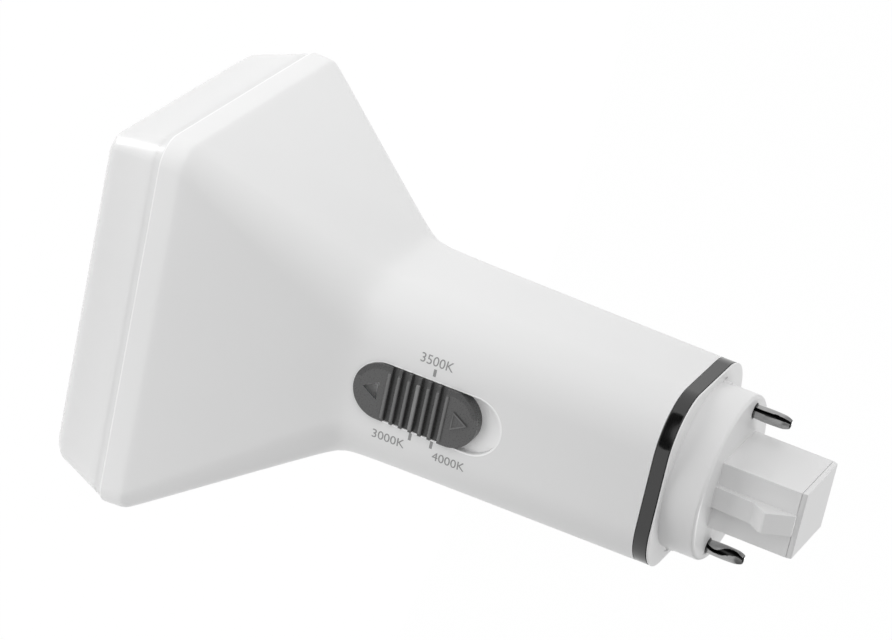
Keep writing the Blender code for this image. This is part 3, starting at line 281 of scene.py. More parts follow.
def moulded_plastic(name, colour, roughness, grain_size, grain_depth, bright=None, painted_light_colour=None):
    """Moulded plastic with a fine eroded grain and a faint unevenness of tone and gloss.
    Where the bright mask of x, y and z is 1, the colour is lifted to the given lighter colour, as painted
    light."""
    finish, shader, place = new_finish(name)
    drift = place.node("TexNoise", Vector=place, Scale=55.0, Detail=3.0)
    grain = place.node("TexNoise", Vector=place, Scale=1 / grain_size, Detail=4.0, Roughness=0.6)
    darker = tuple(c * 0.975 for c in colour)
    tone = drift.tint(darker, colour)
    if bright is not None:
        x, y, z = (place.node("SeparateXYZ", out=k, Vector=place) for k in range(3))
        tone = bright(x, y, z).tint(tone, painted_light_colour)
    place.link(shader.inputs["Base Color"], tone)
    place.link(shader.inputs["Roughness"], roughness - 0.04 + grain * 0.08)
    bump = place.node("Bump", Strength=0.35, Distance=grain_depth, Height=grain)
    place.link(shader.inputs["Normal"], bump)
    return finish


# Widths of the painted highlights: inside and outside the recess's edge, and the band above the rim.
edge_inward, edge_outward, rim_band = 0.05 * mm, 0.28 * mm, 0.20 * mm


def painted_edge_highlights(x, y, z):
    """Painted highlights: a lighter line on the rim where the lens meets it and round the edge of the
    recess on the -Y side, and painted light on the recess floor.
    """
    beyond = z - recess_centre
    beyond = beyond.maths("ABSOLUTE", beyond) - (recess_half - recess_width / 2)
    beyond = beyond.maths("MAXIMUM", beyond, 0.0)
    outside = x.maths("SQRT", x * x + beyond * beyond) - recess_width / 2
    recess_edge = (outside > -edge_inward) * (outside < edge_outward) * (y < 0.4 * mm - neck_face)
    floor_mask = (outside < -edge_inward) * (y < 0.3 * mm - recess_floor)
    return recess_edge.maths("MAXIMUM", recess_edge + floor_mask, (z < rim_z + rim_band) * 0.7)


# The housing's colour is lifted towards near-white where the painted highlights fall.
housing_plastic = moulded_plastic("housing_plastic", (0.80, 0.80, 0.80), 0.40, 0.35 * mm, 0.012 * mm,
                                  bright=painted_edge_highlights, painted_light_colour=(0.97, 0.97, 0.97))
dress(housing, housing_plastic)


# Colour marks: thin grey pad print beside the recess, a tick and a plain
# number of kelvins for each of the three places of the knob.
print_height, print_width, print_gap = 1.62 * mm, 6.0 * mm, 0.012 * mm
marks = []


def on_neck(x, z):
    """A point of the printed skin: just outside the neck's -Y face and its rounded corners."""
    reach = side_reach(z, head_y, funnel_y)
    past_flat = max(0.0, abs(x) - (side_reach(z, head_x, funnel_x) - neck_corner))
    drop = neck_corner - sqrt(neck_corner ** 2 - past_flat ** 2)
    return x, drop - reach - print_gap, z


for words, start_z, top_x in (("3500K", 60.7 * mm, -9.50 * mm), ("3000K", 55.1 * mm, 7.20 * mm),
                              ("4000K", 66.3 * mm, 7.20 * mm)):
    bpy.ops.object.select_all(action="DESELECT")
    bpy.ops.object.text_add()
    text = bpy.context.object
    text.data.body = words
    text.data.size = 2 * mm
    text.data.resolution_u = 6
    bpy.ops.object.convert(target="MESH")
    bpy.ops.object.mode_set(mode="EDIT")
    bpy.ops.mesh.select_all(action="SELECT")
    bpy.ops.mesh.quads_convert_to_tris()
    bpy.ops.mesh.subdivide(number_cuts=3)
    bpy.ops.object.mode_set(mode="OBJECT")
    low = Vector([min(v.co[k] for v in text.data.vertices) for k in range(3)])
    high = Vector([max(v.co[k] for v in text.data.vertices) for k in range(3)])
    for vertex in text.data.vertices:
        along = (vertex.co.x - low.x) / (high.x - low.x)
        up = (vertex.co.y - low.y) / (high.y - low.y)
        vertex.co = on_neck(top_x + (1 - up) * print_height, start_z + along * print_width)
    marks.append(text)
tick_length, tick_width = 1.35 * mm, 0.52 * mm
for tick_z, tick_x in ((61.8 * mm, 6.18 * mm), (63.7 * mm, -6.70 * mm), (65.75 * mm, 6.20 * mm)):
    tick = open_object("tick")
    bpy.ops.mesh.primitive_plane_add(size=2, location=(0, 0, 0))
    bpy.ops.transform.resize(value=(tick_length / 2, tick_width / 2, 1), center_override=(0, 0, 0))
    bpy.ops.mesh.subdivide(number_cuts=3)
    bpy.ops.object.mode_set(mode="OBJECT")
    for vertex in tick.data.vertices:
        vertex.co = on_neck(tick_x + vertex.co.x, tick_z + vertex.co.y)
    marks.append(tick)
bpy.ops.object.select_all(action="DESELECT")
for mark in marks:
    mark.select_set(True)
bpy.context.view_layer.objects.active = marks[0]
bpy.ops.object.join()
colour_marks = bpy.context.object
colour_marks.name = colour_marks.data.name = "colour_marks"
bpy.ops.object.mode_set(mode="EDIT")
bpy.ops.mesh.select_all(action="SELECT")
bpy.ops.mesh.remove_doubles(threshold=0.001 * mm)
bpy.ops.object.mode_set(mode="OBJECT")
for polygon in colour_marks.data.polygons:
    if polygon.normal.y > 0:
        polygon.flip()
print_ink, ink_shader, ink_place = new_finish("print_ink", Specular_IOR_Level=0.3)
speckle = ink_place.node("TexNoise", Vector=ink_place, Scale=4000.0, Detail=2.0)
ink_place.link(ink_shader.inputs["Base Color"], speckle.tint((0.26, 0.26, 0.26), (0.36, 0.36, 0.36)))
ink_place.link(ink_shader.inputs["Roughness"], 0.5 + speckle * 0.1)
dress(colour_marks, print_ink)
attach(colour_marks, "lamp")


# Lens cover: a frosted polycarbonate cup snapped over the lamp board. Its walls
# taper to a rounded front edge. The front is crowned, and its four corners stand back.
lens_x, lens_y = head_x - 0.34 * mm, head_y - 0.34 * mm
lens_corner, corner_taper = head_corner - 0.54 * mm, 1.8 * mm
lens_top = rim_z - 0.05 * mm
lens_tilt, lens_edge, lens_crown, crown_reach = radians(16.8), 3.2 * mm, 1.1 * mm, 14.0 * mm
lens_bow, lens_lip = 1.6 * mm, 0.07 * mm
front_tilt = atan(2 * lens_crown / crown_reach)
edge_end = pi / 2 - front_tilt
edge_z = lens_crown + lens_edge * sin(edge_end)
edge_start_z = edge_z - lens_edge * sin(lens_tilt)
edge_inset = (lens_top - edge_start_z) * tan(lens_tilt) + lens_edge * cos(lens_tilt)
lens_levels = []
bow_shares = {}


def lens_level(inset, z, bow):
    """A level of the lens, and how much of the bow its corners take."""
    bow_shares[round(z / mm, 3)] = bow
    return lens_x - inset, lens_y - inset, lens_corner - corner_taper * bow, z


for k in range(9):
    share = 1 - k / 8
    inset = edge_inset - lens_edge * cos(edge_end) + crown_reach * (1 - share)
    bow = share * (1 - lens_crown / lens_top)
    lens_levels.insert(0, lens_level(inset, lens_crown * share ** 2, bow))
for k in range(1, 9):
    angle = edge_end + (lens_tilt - edge_end) * k / 8
    z = edge_z - lens_edge * sin(angle)
    lens_levels.append(lens_level(edge_inset - lens_edge * cos(angle), z, 1 - z / lens_top))
for z in (6 * mm, 8 * mm, 10 * mm, 12 * mm, lens_top - 0.25 * mm):
    lens_levels.append(lens_level((lens_top - z) * tan(lens_tilt), z, 1 - z / lens_top))
lens_levels.append(lens_level(lens_lip, lens_top - lens_lip, 0))
lens_levels.append((lens_x - 0.30 * mm, lens_y - 0.30 * mm, lens_corner - 0.2 * mm, lens_top))
skirt = shell_wall + 0.25 * mm
for z in (lens_top + 0.02 * mm, lens_top + 2.6 * mm):
    lens_levels.append((head_x - skirt, head_y - skirt, head_corner - skirt, z))
lens_cover = loft_through("lens_cup", lens_levels, cuts=16)
bpy.ops.object.mode_set(mode="EDIT")
bpy.ops.mesh.select_all(action="DESELECT")
bpy.ops.object.mode_set(mode="OBJECT")
for vertex in lens_cover.data.vertices:
    vertex.select = vertex.co.z < 0.001 * mm
bpy.ops.object.mode_set(mode="EDIT")
bpy.ops.mesh.edge_face_add()
bpy.ops.mesh.select_all(action="SELECT")
bpy.ops.mesh.normals_make_consistent(inside=False)
bpy.ops.object.mode_set(mode="OBJECT")
for vertex in lens_cover.data.vertices:
    x, y, z = vertex.co
    bow = bow_shares.get(round(z / mm, 3), 0)
    vertex.co.z = z + lens_bow * bow * (x * y / (lens_x * lens_y)) ** 2
lens_wall = lens_cover.modifiers.new("wall", "SOLIDIFY")
lens_wall.thickness = 1.4 * mm
lens_wall.offset = -1
apply_all(lens_cover)
shade(lens_cover, 28)

lens_plastic, lens_shader, lens_place = new_finish(
    "lens_plastic", Specular_IOR_Level=0.3, Coat_Roughness=0.06, Subsurface_Weight=0.25,
    Subsurface_Radius=(0.004, 0.004, 0.004), Subsurface_Scale=1.0)
cloud = lens_place.node("TexNoise", Vector=lens_place, Scale=40.0, Detail=3.0)
frost = lens_place.node("TexNoise", Vector=lens_place, Scale=2600.0, Detail=3.0)
lens_place.link(lens_shader.inputs["Base Color"], cloud.tint((0.76, 0.76, 0.76), (0.78, 0.78, 0.78)))
lens_place.link(lens_shader.inputs["Roughness"], 0.38 + frost * 0.10)
lens_place.link(lens_shader.inputs["Coat Weight"], 0.10 + cloud * 0.08)
lens_place.link(lens_shader.inputs["Normal"],
                lens_place.node("Bump", Strength=0.2, Distance=0.004 * mm, Height=frost))
dress(lens_cover, lens_plastic)
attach(lens_cover, "lamp")
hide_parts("lens_cover")


# Accent ring: a square hoop in high-gloss dark plastic, held between the neck
# and the flange of the plug.
ring_low, ring_high = 103.50 * mm, 105.98 * mm
ring_edge = 0.18 * mm
accent_ring = loft_through("accent_hoop", [
    (neck_half, neck_half, neck_corner, z) for z in (ring_low, ring_high)], cuts=24)
ring_wall = accent_ring.modifiers.new("wall", "SOLIDIFY")
ring_wall.thickness = 1.9 * mm
ring_wall.offset = -1
apply_all(accent_ring)
soften(accent_ring, ring_edge, segments=4)
ring_gloss, ring_shader, ring_place = new_finish("ring_gloss", IOR=1.68, Coat_Weight=0.0)
polish = ring_place.node("TexNoise", Vector=ring_place, Scale=900.0, Detail=2.0)
ring_place.link(ring_shader.inputs["Base Color"], polish.tint((0.004, 0.004, 0.004), (0.006, 0.006, 0.006)))
ring_place.link(ring_shader.inputs["Roughness"], 0.05 + polish * 0.04)
dress(accent_ring, ring_gloss)
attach(accent_ring, "lamp")
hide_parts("accent_ring")


# Plug: one white moulding with the square flange, the round drum and the
# keyed post, whose two broad sides carry a stepped latch.
flange_low, drum_low, drum_high, post_high = 106.00 * mm, 106.32 * mm, 112.83 * mm, 127.92 * mm
drum_radius, drum_rim, post_x, post_y = 14.70 * mm, 0.65 * mm, 6.13 * mm, 7.51 * mm
lip_length, lip_depth = 0.86 * mm, 0.30 * mm
pin_x, pin_y = 11.39 * mm, 3.78 * mm


def close_ends(piece):
    """Fill the open ends of a loft, so that it is a solid."""
    bpy.context.view_layer.objects.active = piece
    bpy.ops.object.mode_set(mode="EDIT")
    bpy.ops.mesh.select_all(action="SELECT")
    bpy.ops.mesh.fill_holes(sides=0)
    bpy.ops.mesh.normals_make_consistent(inside=False)
    bpy.ops.object.mode_set(mode="OBJECT")
    return piece


def cylinder(name, radius, low, high, centre=(0, 0), sides=96):
    bpy.ops.object.select_all(action="DESELECT")
    bpy.ops.mesh.primitive_cylinder_add(vertices=sides, radius=radius, depth=high - low)
    piece = bpy.context.object
    piece.name = name
    for vertex in piece.data.vertices:
        vertex.co += Vector((*centre, (low + high) / 2))
    return piece


def block(name, low, high):
    """A cube primitive stretched between two corners."""
    bpy.ops.object.select_all(action="DESELECT")
    bpy.ops.mesh.primitive_cube_add(size=1)
    piece = bpy.context.object
    piece.name = name
    low, high = Vector(low), Vector(high)
    for vertex in piece.data.vertices:
        vertex.co = (low + high) / 2 + Vector([vertex.co[k] * (high - low)[k] for k in range(3)])
    return piece


skirt_half, skirt_corner = neck_half - 2.3 * mm, neck_corner - 2.3 * mm
plug = close_ends(loft_through("plug_moulding", [
    (skirt_half, skirt_half, skirt_corner, 95.7 * mm),
    (skirt_half, skirt_half, skirt_corner, flange_low),
    (neck_half, neck_half, neck_corner, flange_low),
    (neck_half, neck_half, neck_corner, drum_low)], cuts=24))
soften(plug, 0.08 * mm, segments=2, angle=60)
drum = cylinder("drum", drum_radius, drum_low - 0.1 * mm, drum_high, sides=128)
rim_round = drum.modifiers.new("rim", "BEVEL")
rim_round.width = drum_rim
rim_round.segments = 6
rim_round.limit_method = "ANGLE"
rim_round.angle_limit = radians(60)
apply_all(drum)
for vertex in drum.data.vertices:
    if vertex.co.z < drum_low + 2 * mm:
        away = Vector((vertex.co.x, vertex.co.y, 0))
        if away.length > drum_radius / 2:
            vertex.co = away.normalized() * drum_radius + Vector((0, 0, vertex.co.z))
cut_away(plug, drum, "UNION")
post_corner, line_width, core_inset = 0.15 * mm, 0.11 * mm, 0.2 * mm
post = close_ends(loft_through("post", [
    (post_x, post_y, post_corner, drum_high - 1 * mm),
    (post_x, post_y, post_corner, post_high - lip_length - line_width)], cuts=3))
cut_away(plug, post, "UNION")
cut_away(plug, block("post_core", (core_inset - post_x, core_inset - post_y, drum_high - 1.1 * mm),
                     (post_x - core_inset, post_y - core_inset, post_high - core_inset)), "UNION")
tip = close_ends(loft_through("post_tip", [
    (post_x, post_y, post_corner, post_high - lip_length),
    (post_x - 0.02 * mm, post_y - lip_depth, post_corner, post_high - 0.08 * mm),
    (post_x - 0.10 * mm, post_y - lip_depth - 0.08 * mm, post_corner, post_high)], cuts=3))
cut_away(plug, tip, "UNION")
ridge_half = 1.95 * mm
for side in (-1, 1):
    ridge = open_object("ridge")
    bpy.ops.object.mode_set(mode="OBJECT")
    profile = [(-0.5, -0.5), (0.90, -0.5), (0.95, 0.4), (1.35, 7.1), (3.0, 9.25), (3.1, 9.7), (3.05, 10.1),
               (0.42, 14.1), (0.36, 14.22), (-0.5, 14.22)]
    points = [(x, side * (post_y + y * mm), drum_high + z * mm)
              for x in (-ridge_half, ridge_half) for y, z in profile]
    count = len(profile)
    faces = [tuple(range(count)), tuple(range(2 * count - 1, count - 1, -1))]
    faces += [(k, (k + 1) % count, count + (k + 1) % count, count + k) for k in range(count)]
    ridge.data.from_pydata(points, [], faces)
    ridge.data.update()
    bpy.context.view_layer.objects.active = ridge
    ridge.select_set(True)
    bpy.ops.object.mode_set(mode="EDIT")
    bpy.ops.mesh.select_all(action="SELECT")
    bpy.ops.mesh.normals_make_consistent(inside=False)
    bpy.ops.object.mode_set(mode="OBJECT")
    soften(ridge, 0.10 * mm, segments=3, angle=30)
    cut_away(plug, ridge, "UNION")
pad_radius, pad_height, pad_rise = 1.3 * mm, 1.3 * mm, 0.35 * mm
notch_near, notch_far, notch_half = 0.2 * mm, 0.25 * mm, 1.1 * mm
notch_depth, notch_rise, hole_radius = 0.25 * mm, 0.2 * mm, 1.42 * mm
outward = Vector((-pin_x, pin_y, 0)).normalized()
for side in (-1, 1):
    middle = outward * side * (drum_radius + pad_rise - pad_radius)
    pad = cylinder("notch_pad", pad_radius, drum_low - 0.1 * mm, drum_low + pad_height, middle.xy, 48)
    soften(pad, 0.12 * mm, segments=2, angle=60)
    cut_away(plug, pad, "UNION")
for side in (-1, 1):
    cut_away(plug, cylinder("pin_hole", hole_radius, drum_high - 5 * mm, drum_high + 1 * mm,
                            (side * pin_x, -side * pin_y), 48))
    slot = block("notch_slot", (-notch_near, -notch_half, drum_low - notch_depth),
                 (notch_far, notch_half, drum_low + notch_rise))
    turn = outward.xy.angle_signed(Vector((1, 0))) + (0 if side > 0 else pi)
    for vertex in slot.data.vertices:
        x, y, z = vertex.co
        x += drum_radius + pad_rise + notch_far
        vertex.co = (x * cos(turn) - y * sin(turn), x * sin(turn) + y * cos(turn), z)
    cut_away(plug, slot)
shade(plug)
plug_plastic = moulded_plastic("plug_plastic", (0.80, 0.80, 0.80), 0.30, 0.30 * mm, 0.006 * mm)
dress(plug, plug_plastic)
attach(plug, "lamp")
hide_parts("base_cap")


# Contact pins: nickel-plated brass strip rolled into tubes, faintly bulged, with an
# open seam and a nose drawn in to a taper. Their seams don't run the same way.
pin_radius, pin_bulge, pin_nose, nose_radius = 1.18 * mm, 0.10 * mm, 1.4 * mm, 0.80 * mm
pin_tip, pin_steps = drum_high + 6.48 * mm, 24
# How far in from the outside the painted shade inside the tubes starts, and how high the painted shade at
# the foot reaches.
shade_inset, shade_foot = 0.14 * mm, 0.40 * mm
leaf_half, leaf_middle, leaf_reach = 0.26, 0.60, 0.30
nickel_plate, nickel_shader, nickel_place = new_finish("nickel_plate", Metallic=1.0)
stain = nickel_place.node("TexNoise", Vector=nickel_place, Scale=700.0, Detail=4.0)
drawn = nickel_place.node("TexNoise", Vector=nickel_place.node(
    "Mapping", Vector=nickel_place, Scale=(1.0, 1.0, 0.08)), Scale=9000.0, Detail=2.0)
across, along, height = (nickel_place.node("SeparateXYZ", out=k, Vector=nickel_place) for k in range(3))
half_turn = across.maths("SIGN", across)
off_x, off_y = across * half_turn - pin_x, along * half_turn + pin_y
off_axis = off_x.maths("SQRT", off_x * off_x + off_y * off_y)
drawn_in = height.maths("MAXIMUM", (height - (pin_tip - pin_nose)) / pin_nose, 0.0)
outside = pin_radius - drawn_in * drawn_in * (pin_radius - nose_radius)
# Painted shade: the inside of each tube and the foot of each pin by the drum are painted dark.
hidden = off_axis < outside - shade_inset
painted_shade = hidden.maths("MAXIMUM", hidden, (height < drum_high + shade_foot) * 0.8)
plate = painted_shade.tint(stain.tint((0.30, 0.30, 0.30), (0.50, 0.50, 0.50)), (0.09, 0.09, 0.09))
nickel_place.link(nickel_shader.inputs["Base Color"], plate)
nickel_place.link(nickel_shader.inputs["Roughness"], 0.26 + stain * 0.12)
nickel_place.link(nickel_shader.inputs["Normal"],
                  nickel_place.node("Bump", Strength=0.3, Distance=0.01 * mm, Height=drawn))
pin_seams = ((1, -1, radians(230), 0.05, 0.06), (2, 1, radians(240), 0.40, 0.30))
for number, side, seam, wave, leaf_depth in pin_seams:
    bpy.context.tool_settings.mesh_select_mode = (True, False, False)
    bpy.ops.object.select_all(action="DESELECT")
    bpy.ops.mesh.primitive_cylinder_add(vertices=96, radius=pin_radius, depth=2 * mm,
                                        end_fill_type="NOTHING")
    pin = bpy.context.object
    pin.name = pin.data.name = "rolled_pin_%d" % number
    bpy.ops.object.mode_set(mode="EDIT")
    bpy.ops.mesh.select_all(action="DESELECT")
    bpy.ops.object.mode_set(mode="OBJECT")
    low_z = drum_high - 4 * mm
    for vertex in pin.data.vertices:
        vertex.co.z = low_z if vertex.co.z < 0 else drum_high
        vertex.select = vertex.co.z > low_z + mm
    bpy.ops.object.mode_set(mode="EDIT")
    bpy.ops.mesh.select_mode(type="EDGE")
    for k in range(pin_steps):
        bpy.ops.mesh.extrude_region_move(
            TRANSFORM_OT_translate={"value": (0, 0, (pin_tip - drum_high) / pin_steps)})
    bpy.ops.object.mode_set(mode="OBJECT")
    for polygon in pin.data.polygons:
        centre = polygon.center
        away = (Vector((centre.x, centre.y)).angle_signed(Vector((1, 0))) - seam + pi) % (2 * pi) - pi
        up = (centre.z - drum_high) / (pin_tip - drum_high)
        leaf = leaf_half + leaf_depth * max(0.0, 1 - ((up - leaf_middle) / leaf_reach) ** 2)
        polygon.select = abs(away) < leaf
    bpy.ops.object.mode_set(mode="EDIT")
    bpy.ops.mesh.select_mode(type="FACE")
    bpy.ops.mesh.delete(type="FACE")
    bpy.ops.mesh.select_mode(type="VERT")
    bpy.ops.object.mode_set(mode="OBJECT")
    for vertex in pin.data.vertices:
        x, y, z = vertex.co
        up = max(0.0, (z - drum_high) / (pin_tip - drum_high))
        girth = 1 + pin_bulge / pin_radius * sin(pi * min(up * 1.15, 1.0))
        nose = max(0.0, (z - pin_tip + pin_nose) / pin_nose)
        girth -= (1 - nose_radius / pin_radius) * nose ** 2
        turn = wave * sin(2 * pi * up)
        vertex.co = ((x * cos(turn) - y * sin(turn)) * girth, (x * sin(turn) + y * cos(turn)) * girth, z)
    bpy.ops.object.mode_set(mode="EDIT")
    bpy.ops.mesh.select_all(action="SELECT")
    bpy.ops.mesh.normals_make_consistent(inside=False)
    bpy.ops.object.mode_set(mode="OBJECT")
    metal = pin.modifiers.new("metal", "SOLIDIFY")
    metal.thickness = 0.32 * mm
    metal.offset = -1
    apply_all(pin)
    for vertex in pin.data.vertices:
        vertex.co += Vector((side * pin_x, -side * pin_y, 0))
    soften(pin, 0.05 * mm, segments=2, angle=45)
    dress(pin, nickel_plate)
    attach(pin, "lamp")
    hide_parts("contact_pin_%d" % number)


# Selector knob: a dark satin moulding that slides in the recess, with a chamfered
# border, seven rounded grip bars and an arrow at each end. The middle bar is taller.
knob_z, knob_half, knob_width = 61.7 * mm, 11.1 * mm, 9.4 * mm
knob_top, knob_under = neck_face + 0.8 * mm, recess_floor + 0.3 * mm
border_width, border_drop = 0.75 * mm, 0.42 * mm
bar_pitch, bar_width, bar_rise = 1.8 * mm, 0.62 * mm, 0.26 * mm
middle_width, middle_rise = 0.70 * mm, 0.42 * mm
bar_near, bar_far, bar_round, middle_round = 0.70 * mm, 0.10 * mm, 0.22 * mm, 0.20 * mm
groove_width, groove_depth = 1.20 * mm, 0.8 * mm
arrow_tip, arrow_base, arrow_half = 9.8 * mm, 6.95 * mm, 1.68 * mm
arrow_rise, pocket_rise, pocket_share = 0.30 * mm, 0.19 * mm, 0.76
knob = stadium_block("sliding_knob", knob_width, knob_half, knob_z, -knob_top + border_drop, -knob_under)
for vertex in knob.data.vertices:
    vertex.select = vertex.co.y < -knob_top + border_drop + 0.01 * mm
bpy.context.view_layer.objects.active = knob
bpy.ops.object.mode_set(mode="EDIT")
bpy.ops.mesh.select_mode(type="VERT")
bpy.ops.mesh.select_mode(type="FACE")
bpy.ops.mesh.inset(thickness=border_width, depth=border_drop)
bpy.ops.mesh.select_mode(type="VERT")
bpy.ops.object.mode_set(mode="OBJECT")
soften(knob, 0.05 * mm, segments=2, angle=25)
for k in range(-3, 3):
    groove_z = knob_z + (k + 0.5) * bar_pitch
    cut_away(knob, block("groove", (-knob_width, -knob_top - mm, groove_z - groove_width / 2),
                         (knob_width, -knob_top + groove_depth, groove_z + groove_width / 2)))


def rounded_bar(name, width, high, round_width):
    """A grip bar across the knob with rounded upper edges and ends, set in from the border on -X."""
    bar = block(name, (bar_near - knob_width / 2, -high, -width / 2),
                (knob_width / 2 - bar_far, mm - knob_top, width / 2))
    edge = bar.modifiers.new("edge", "BEVEL")
    edge.width = round_width
    edge.segments = 5
    apply_all(bar)
    return bar


for k in range(-3, 4):
    if k == 0:
        bar = rounded_bar("middle_bar", middle_width, knob_top + middle_rise, middle_round)
    else:
        bar = rounded_bar("grip_bar", bar_width, knob_top + bar_rise, bar_round)
    for vertex in bar.data.vertices:
        vertex.co.z += knob_z + k * bar_pitch
    cut_away(knob, bar, "UNION")


def arrow_block(side, share, high, low):
    """A triangle that points out along the knob, shrunk to a share about its middle."""
    tip, base = knob_z + side * arrow_tip, knob_z + side * arrow_base
    middle = (tip + 2 * base) / 3
    arrow = open_object("arrow")
    bpy.ops.object.mode_set(mode="OBJECT")
    points = [(x * share, depth, middle + (z - middle) * share) for depth in (-high, -low)
              for x, z in ((0, tip), (arrow_half, base), (-arrow_half, base))]
    arrow.data.from_pydata(points, [], [(0, 1, 2), (5, 4, 3), (0, 3, 4, 1), (1, 4, 5, 2), (2, 5, 3, 0)])
    bpy.context.view_layer.objects.active = arrow
    arrow.select_set(True)
    bpy.ops.object.mode_set(mode="EDIT")
    bpy.ops.mesh.select_all(action="SELECT")
    bpy.ops.mesh.normals_make_consistent(inside=False)
    bpy.ops.object.mode_set(mode="OBJECT")
    return arrow


for side in (-1, 1):
    cut_away(knob, arrow_block(side, 1.0, knob_top + arrow_rise, knob_top - 0.02 * mm), "UNION")
    cut_away(knob, arrow_block(side, pocket_share, knob_top + 0.5 * mm, knob_top + pocket_rise))
shade(knob)
# How much lighter each part of the knob is painted, as painted light.
face_light, bar_light, middle_light, arrow_light = 0.16, 0.36, 0.44, 0.34
middle_reach, bars_reach, ends_reach = 0.38 * mm, 6.2 * mm, 6.6 * mm


def painted_knob_light(x, y, z):
    """How light the knob is painted, as painted light and shade: dark in the grooves, on the sides and
    along the upper long side, lighter on its face, on the bars, most of all the middle one, on the arrows
    and on the border's chamfer at the ends."""
    def stands(height):
        """Where the surface stands further out than this height over the knob's face."""
        return y < -knob_top - height

    from_middle = (z - knob_z).maths("ABSOLUTE", z - knob_z)
    past = from_middle.maths("MAXIMUM", from_middle - (knob_half - knob_width / 2), 0.0)
    from_axis = past.maths("SQRT", x * x + past * past)
    # Painted shade: the upper long side of the face is kept dark.
    upper_side = (from_axis > knob_width / 2 - 0.50 * mm) * (x < -1.6 * mm)
    face = stands(-0.36 * mm) * (1 - upper_side) * face_light
    ends = (from_middle > ends_reach) * stands(-border_drop)
    # Painted highlight on the border's chamfer at both ends.
    chamfer = ends * (y > -knob_top + 0.06 * mm) * (1 - upper_side) * face_light
    bars = (from_middle < bars_reach) * stands(0.08 * mm) * bar_light
    middle_bar = (from_middle < middle_reach) * stands(0.24 * mm) * middle_light
    arrows = ends * stands(0.22 * mm) * arrow_light
    return face + chamfer + bars + middle_bar + arrows


knob_plastic = moulded_plastic("knob_plastic", (0.064, 0.064, 0.064), 0.28, 0.25 * mm, 0.006 * mm,
                               bright=painted_knob_light, painted_light_colour=(0.235, 0.235, 0.235))
dress(knob, knob_plastic)
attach(knob, "selector")
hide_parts("selector_knob")


# Driver and lamp board inside the housing: bought-in parts on a green laminate,
# with taped copper, sleeved cans, lacquered discs and bright sheet metal.
def part_finish(name, colour, roughness, metallic=0.0, texture=900.0):
    finish, shader, place = new_finish(name, Metallic=metallic)
    tone = place.node("TexNoise", Vector=place, Scale=texture, Detail=3.0)
    place.link(shader.inputs["Base Color"], tone.tint(tuple(c * 0.85 for c in colour), colour))
    place.link(shader.inputs["Roughness"], roughness - 0.05 + tone * 0.1)
    place.link(shader.inputs["Normal"], place.node("Bump", Strength=0.2, Distance=0.01 * mm, Height=tone))
    return finish


inner_finishes = {
    "board_laminate": ((0.03, 0.17, 0.06), 0.45, 0.0, ("driver_board",)),
    "board_white": ((0.80, 0.80, 0.78), 0.45, 0.0, ("lamp_board", "output_header", "lamp_connector")),
    "sheet_aluminium": ((0.78, 0.78, 0.79), 0.35, 1.0, ("heat_spreader",)),
    "bright_steel": ((0.60, 0.60, 0.60), 0.28, 1.0, (
        "board_screw_1", "board_screw_2", "board_screw_3", "board_screw_4", "switch_case")),
    "ferrite": ((0.07, 0.07, 0.075), 0.60, 0.0, ("transformer_core", "choke")),
    "winding_tape": ((0.70, 0.52, 0.10), 0.45, 0.0, ("transformer_winding", "film_capacitor")),
    "black_sleeve": ((0.04, 0.04, 0.05), 0.35, 0.0, (
        "input_capacitor", "bridge_rectifier", "controller_chip")),
    "blue_coat": ((0.03, 0.08, 0.20), 0.35, 0.0, ("output_capacitor", "varistor", "fuse_resistor")),
    "lever_plastic": ((0.08, 0.08, 0.08), 0.40, 0.0, ("switch_lever",)),
    "white_sleeve": ((0.78, 0.78, 0.75), 0.45, 0.0, ("mains_wire_1", "mains_wire_2", "lamp_wire_3")),
    "red_sleeve": ((0.50, 0.03, 0.02), 0.45, 0.0, ("lamp_wire_1",)),
    "yellow_sleeve": ((0.70, 0.55, 0.06), 0.45, 0.0, ("lamp_wire_2",)),
}
for name, (colour, roughness, metallic, nodes) in inner_finishes.items():
    finish = part_finish(name, colour, roughness, metallic)
    for node in nodes:
        dress(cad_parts[node], finish)


# Studio: a pale floor that is lit from within around the lamp and keeps a faint
# shadow, a white surround, brighter on the -X side, which is the upper side of the
# picture, and a dark card for the glossy ring.
bpy.ops.object.select_all(action="DESELECT")
bpy.ops.mesh.primitive_circle_add(vertices=96, radius=3.0, fill_type="NGON", location=(0, 0, -0.0002))
floor = bpy.context.object
floor.name = "floor"
floor_paper = bpy.data.materials.new("floor_paper")
floor_paper.use_nodes = True
paper = floor_paper.node_tree
paper_shader = paper.nodes["Principled BSDF"]
paper_shader.inputs["Base Color"].default_value = (0.45, 0.45, 0.45, 1)
paper_shader.inputs["Roughness"].default_value = 0.9
paper_shader.inputs["Emission Strength"].default_value = 0.98
spot = Flow(paper, paper.nodes.new("ShaderNodeTexCoord").outputs["Object"])
from_centre = spot.node("VectorMath", {"operation": "LENGTH"}, out="Value", Vector=spot)
panel_radius, dimmed_radius, dimming = 0.24, 0.052, 0.25
panel = (from_centre < panel_radius) * (1 - (from_centre < dimmed_radius) * dimming)
panel.link(paper_shader.inputs["Emission Color"], panel.tint((0, 0, 0), (1, 1, 1)))
path = paper.nodes.new("ShaderNodeLightPath")
by_camera = Flow(paper, path.outputs["Is Camera Ray"])
by_gloss = Flow(paper, path.outputs["Is Glossy Ray"])
glow = by_camera.node("Emission", Color=(1, 1, 1, 1), Strength=1.0)
blended = paper.nodes.new("ShaderNodeMixShader")
camera_share, gloss_share = 0.995, 0.985
by_camera.link(blended.inputs[0], by_camera * camera_share + by_gloss * gloss_share)
paper.links.new(paper_shader.outputs[0], blended.inputs[1])
paper.links.new(glow.socket, blended.inputs[2])
paper.links.new(blended.outputs[0], paper.nodes["Material Output"].inputs["Surface"])
dress(floor, floor_paper)

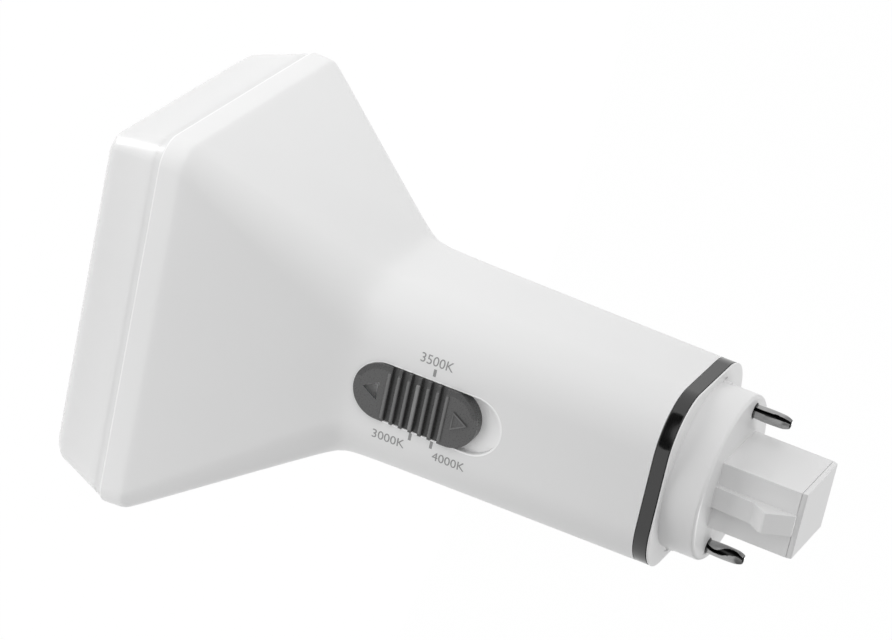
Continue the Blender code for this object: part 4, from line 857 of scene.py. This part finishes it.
card = open_object("card")
bpy.ops.object.mode_set(mode="OBJECT")
card_corners = [(-0.422, -0.095), (-0.490, -0.185), (-0.050, -0.522), (0.018, -0.432)]
card.data.from_pydata([(x, y, 0.4 * mm) for x, y in card_corners], [], [(0, 1, 2, 3)])
card_paper, card_shader = new_finish("card_paper", Roughness=0.9, Specular_IOR_Level=0.0)[:2]
card_shader.inputs["Base Color"].default_value = (0.01, 0.01, 0.01, 1)
dress(card, card_paper)

surround = bpy.data.worlds.new("surround")
bpy.context.scene.world = surround
surround.use_nodes = True
sky = surround.node_tree
back = sky.nodes["Background"]
path = sky.nodes.new("ShaderNodeLightPath")
seen = Flow(sky, path.outputs["Is Camera Ray"])
mirrored = Flow(sky, path.outputs["Is Glossy Ray"])
way = Flow(sky, sky.nodes.new("ShaderNodeTexCoord").outputs["Generated"])
way_x, way_y, way_z = (way.node("SeparateXYZ", out=k, Vector=way) for k in range(3))
light = (0.46 - way_x * 0.33 + way_y * 0.10 + way_z * 0.42) * (1 - mirrored * 0.4)
seen.link(back.inputs["Color"], (1, 1, 1, 1))
seen.link(back.inputs["Strength"], light + seen * (1 - light))


def lamp(name, place, aim, width, watts):
    """A rectangular area lamp that shines from its place to its aim."""
    light = bpy.data.lights.new(name, "AREA")
    light.shape = "RECTANGLE"
    light.size, light.size_y = width
    light.energy = watts
    made = bpy.data.objects.new(name, light)
    made.location = place
    made.rotation_euler = (Vector(aim) - Vector(place)).to_track_quat("-Z", "Y").to_euler()
    bpy.context.scene.collection.objects.link(made)
    return made


lamp("key", (-1.1, -0.45, 0.20), (0, 0, 0.06), (0.6, 0.6), 1.9)
lamp("back", (0.45, 0.45, 0.90), (0, 0, 0.12), (0.3, 0.3), 2.9)
glint_x, glint_y = -37.0 * mm, -28.5 * mm
glint = lamp("glint", (glint_x, glint_y, 0.6 * mm), (glint_x, glint_y, 0.1), (2.8 * mm, 14 * mm), 0.0024)
glint.rotation_euler = (pi, 0, radians(-63))
glint.visible_camera = glint.visible_diffuse = False

bpy.context.scene.view_settings.view_transform = "Standard"
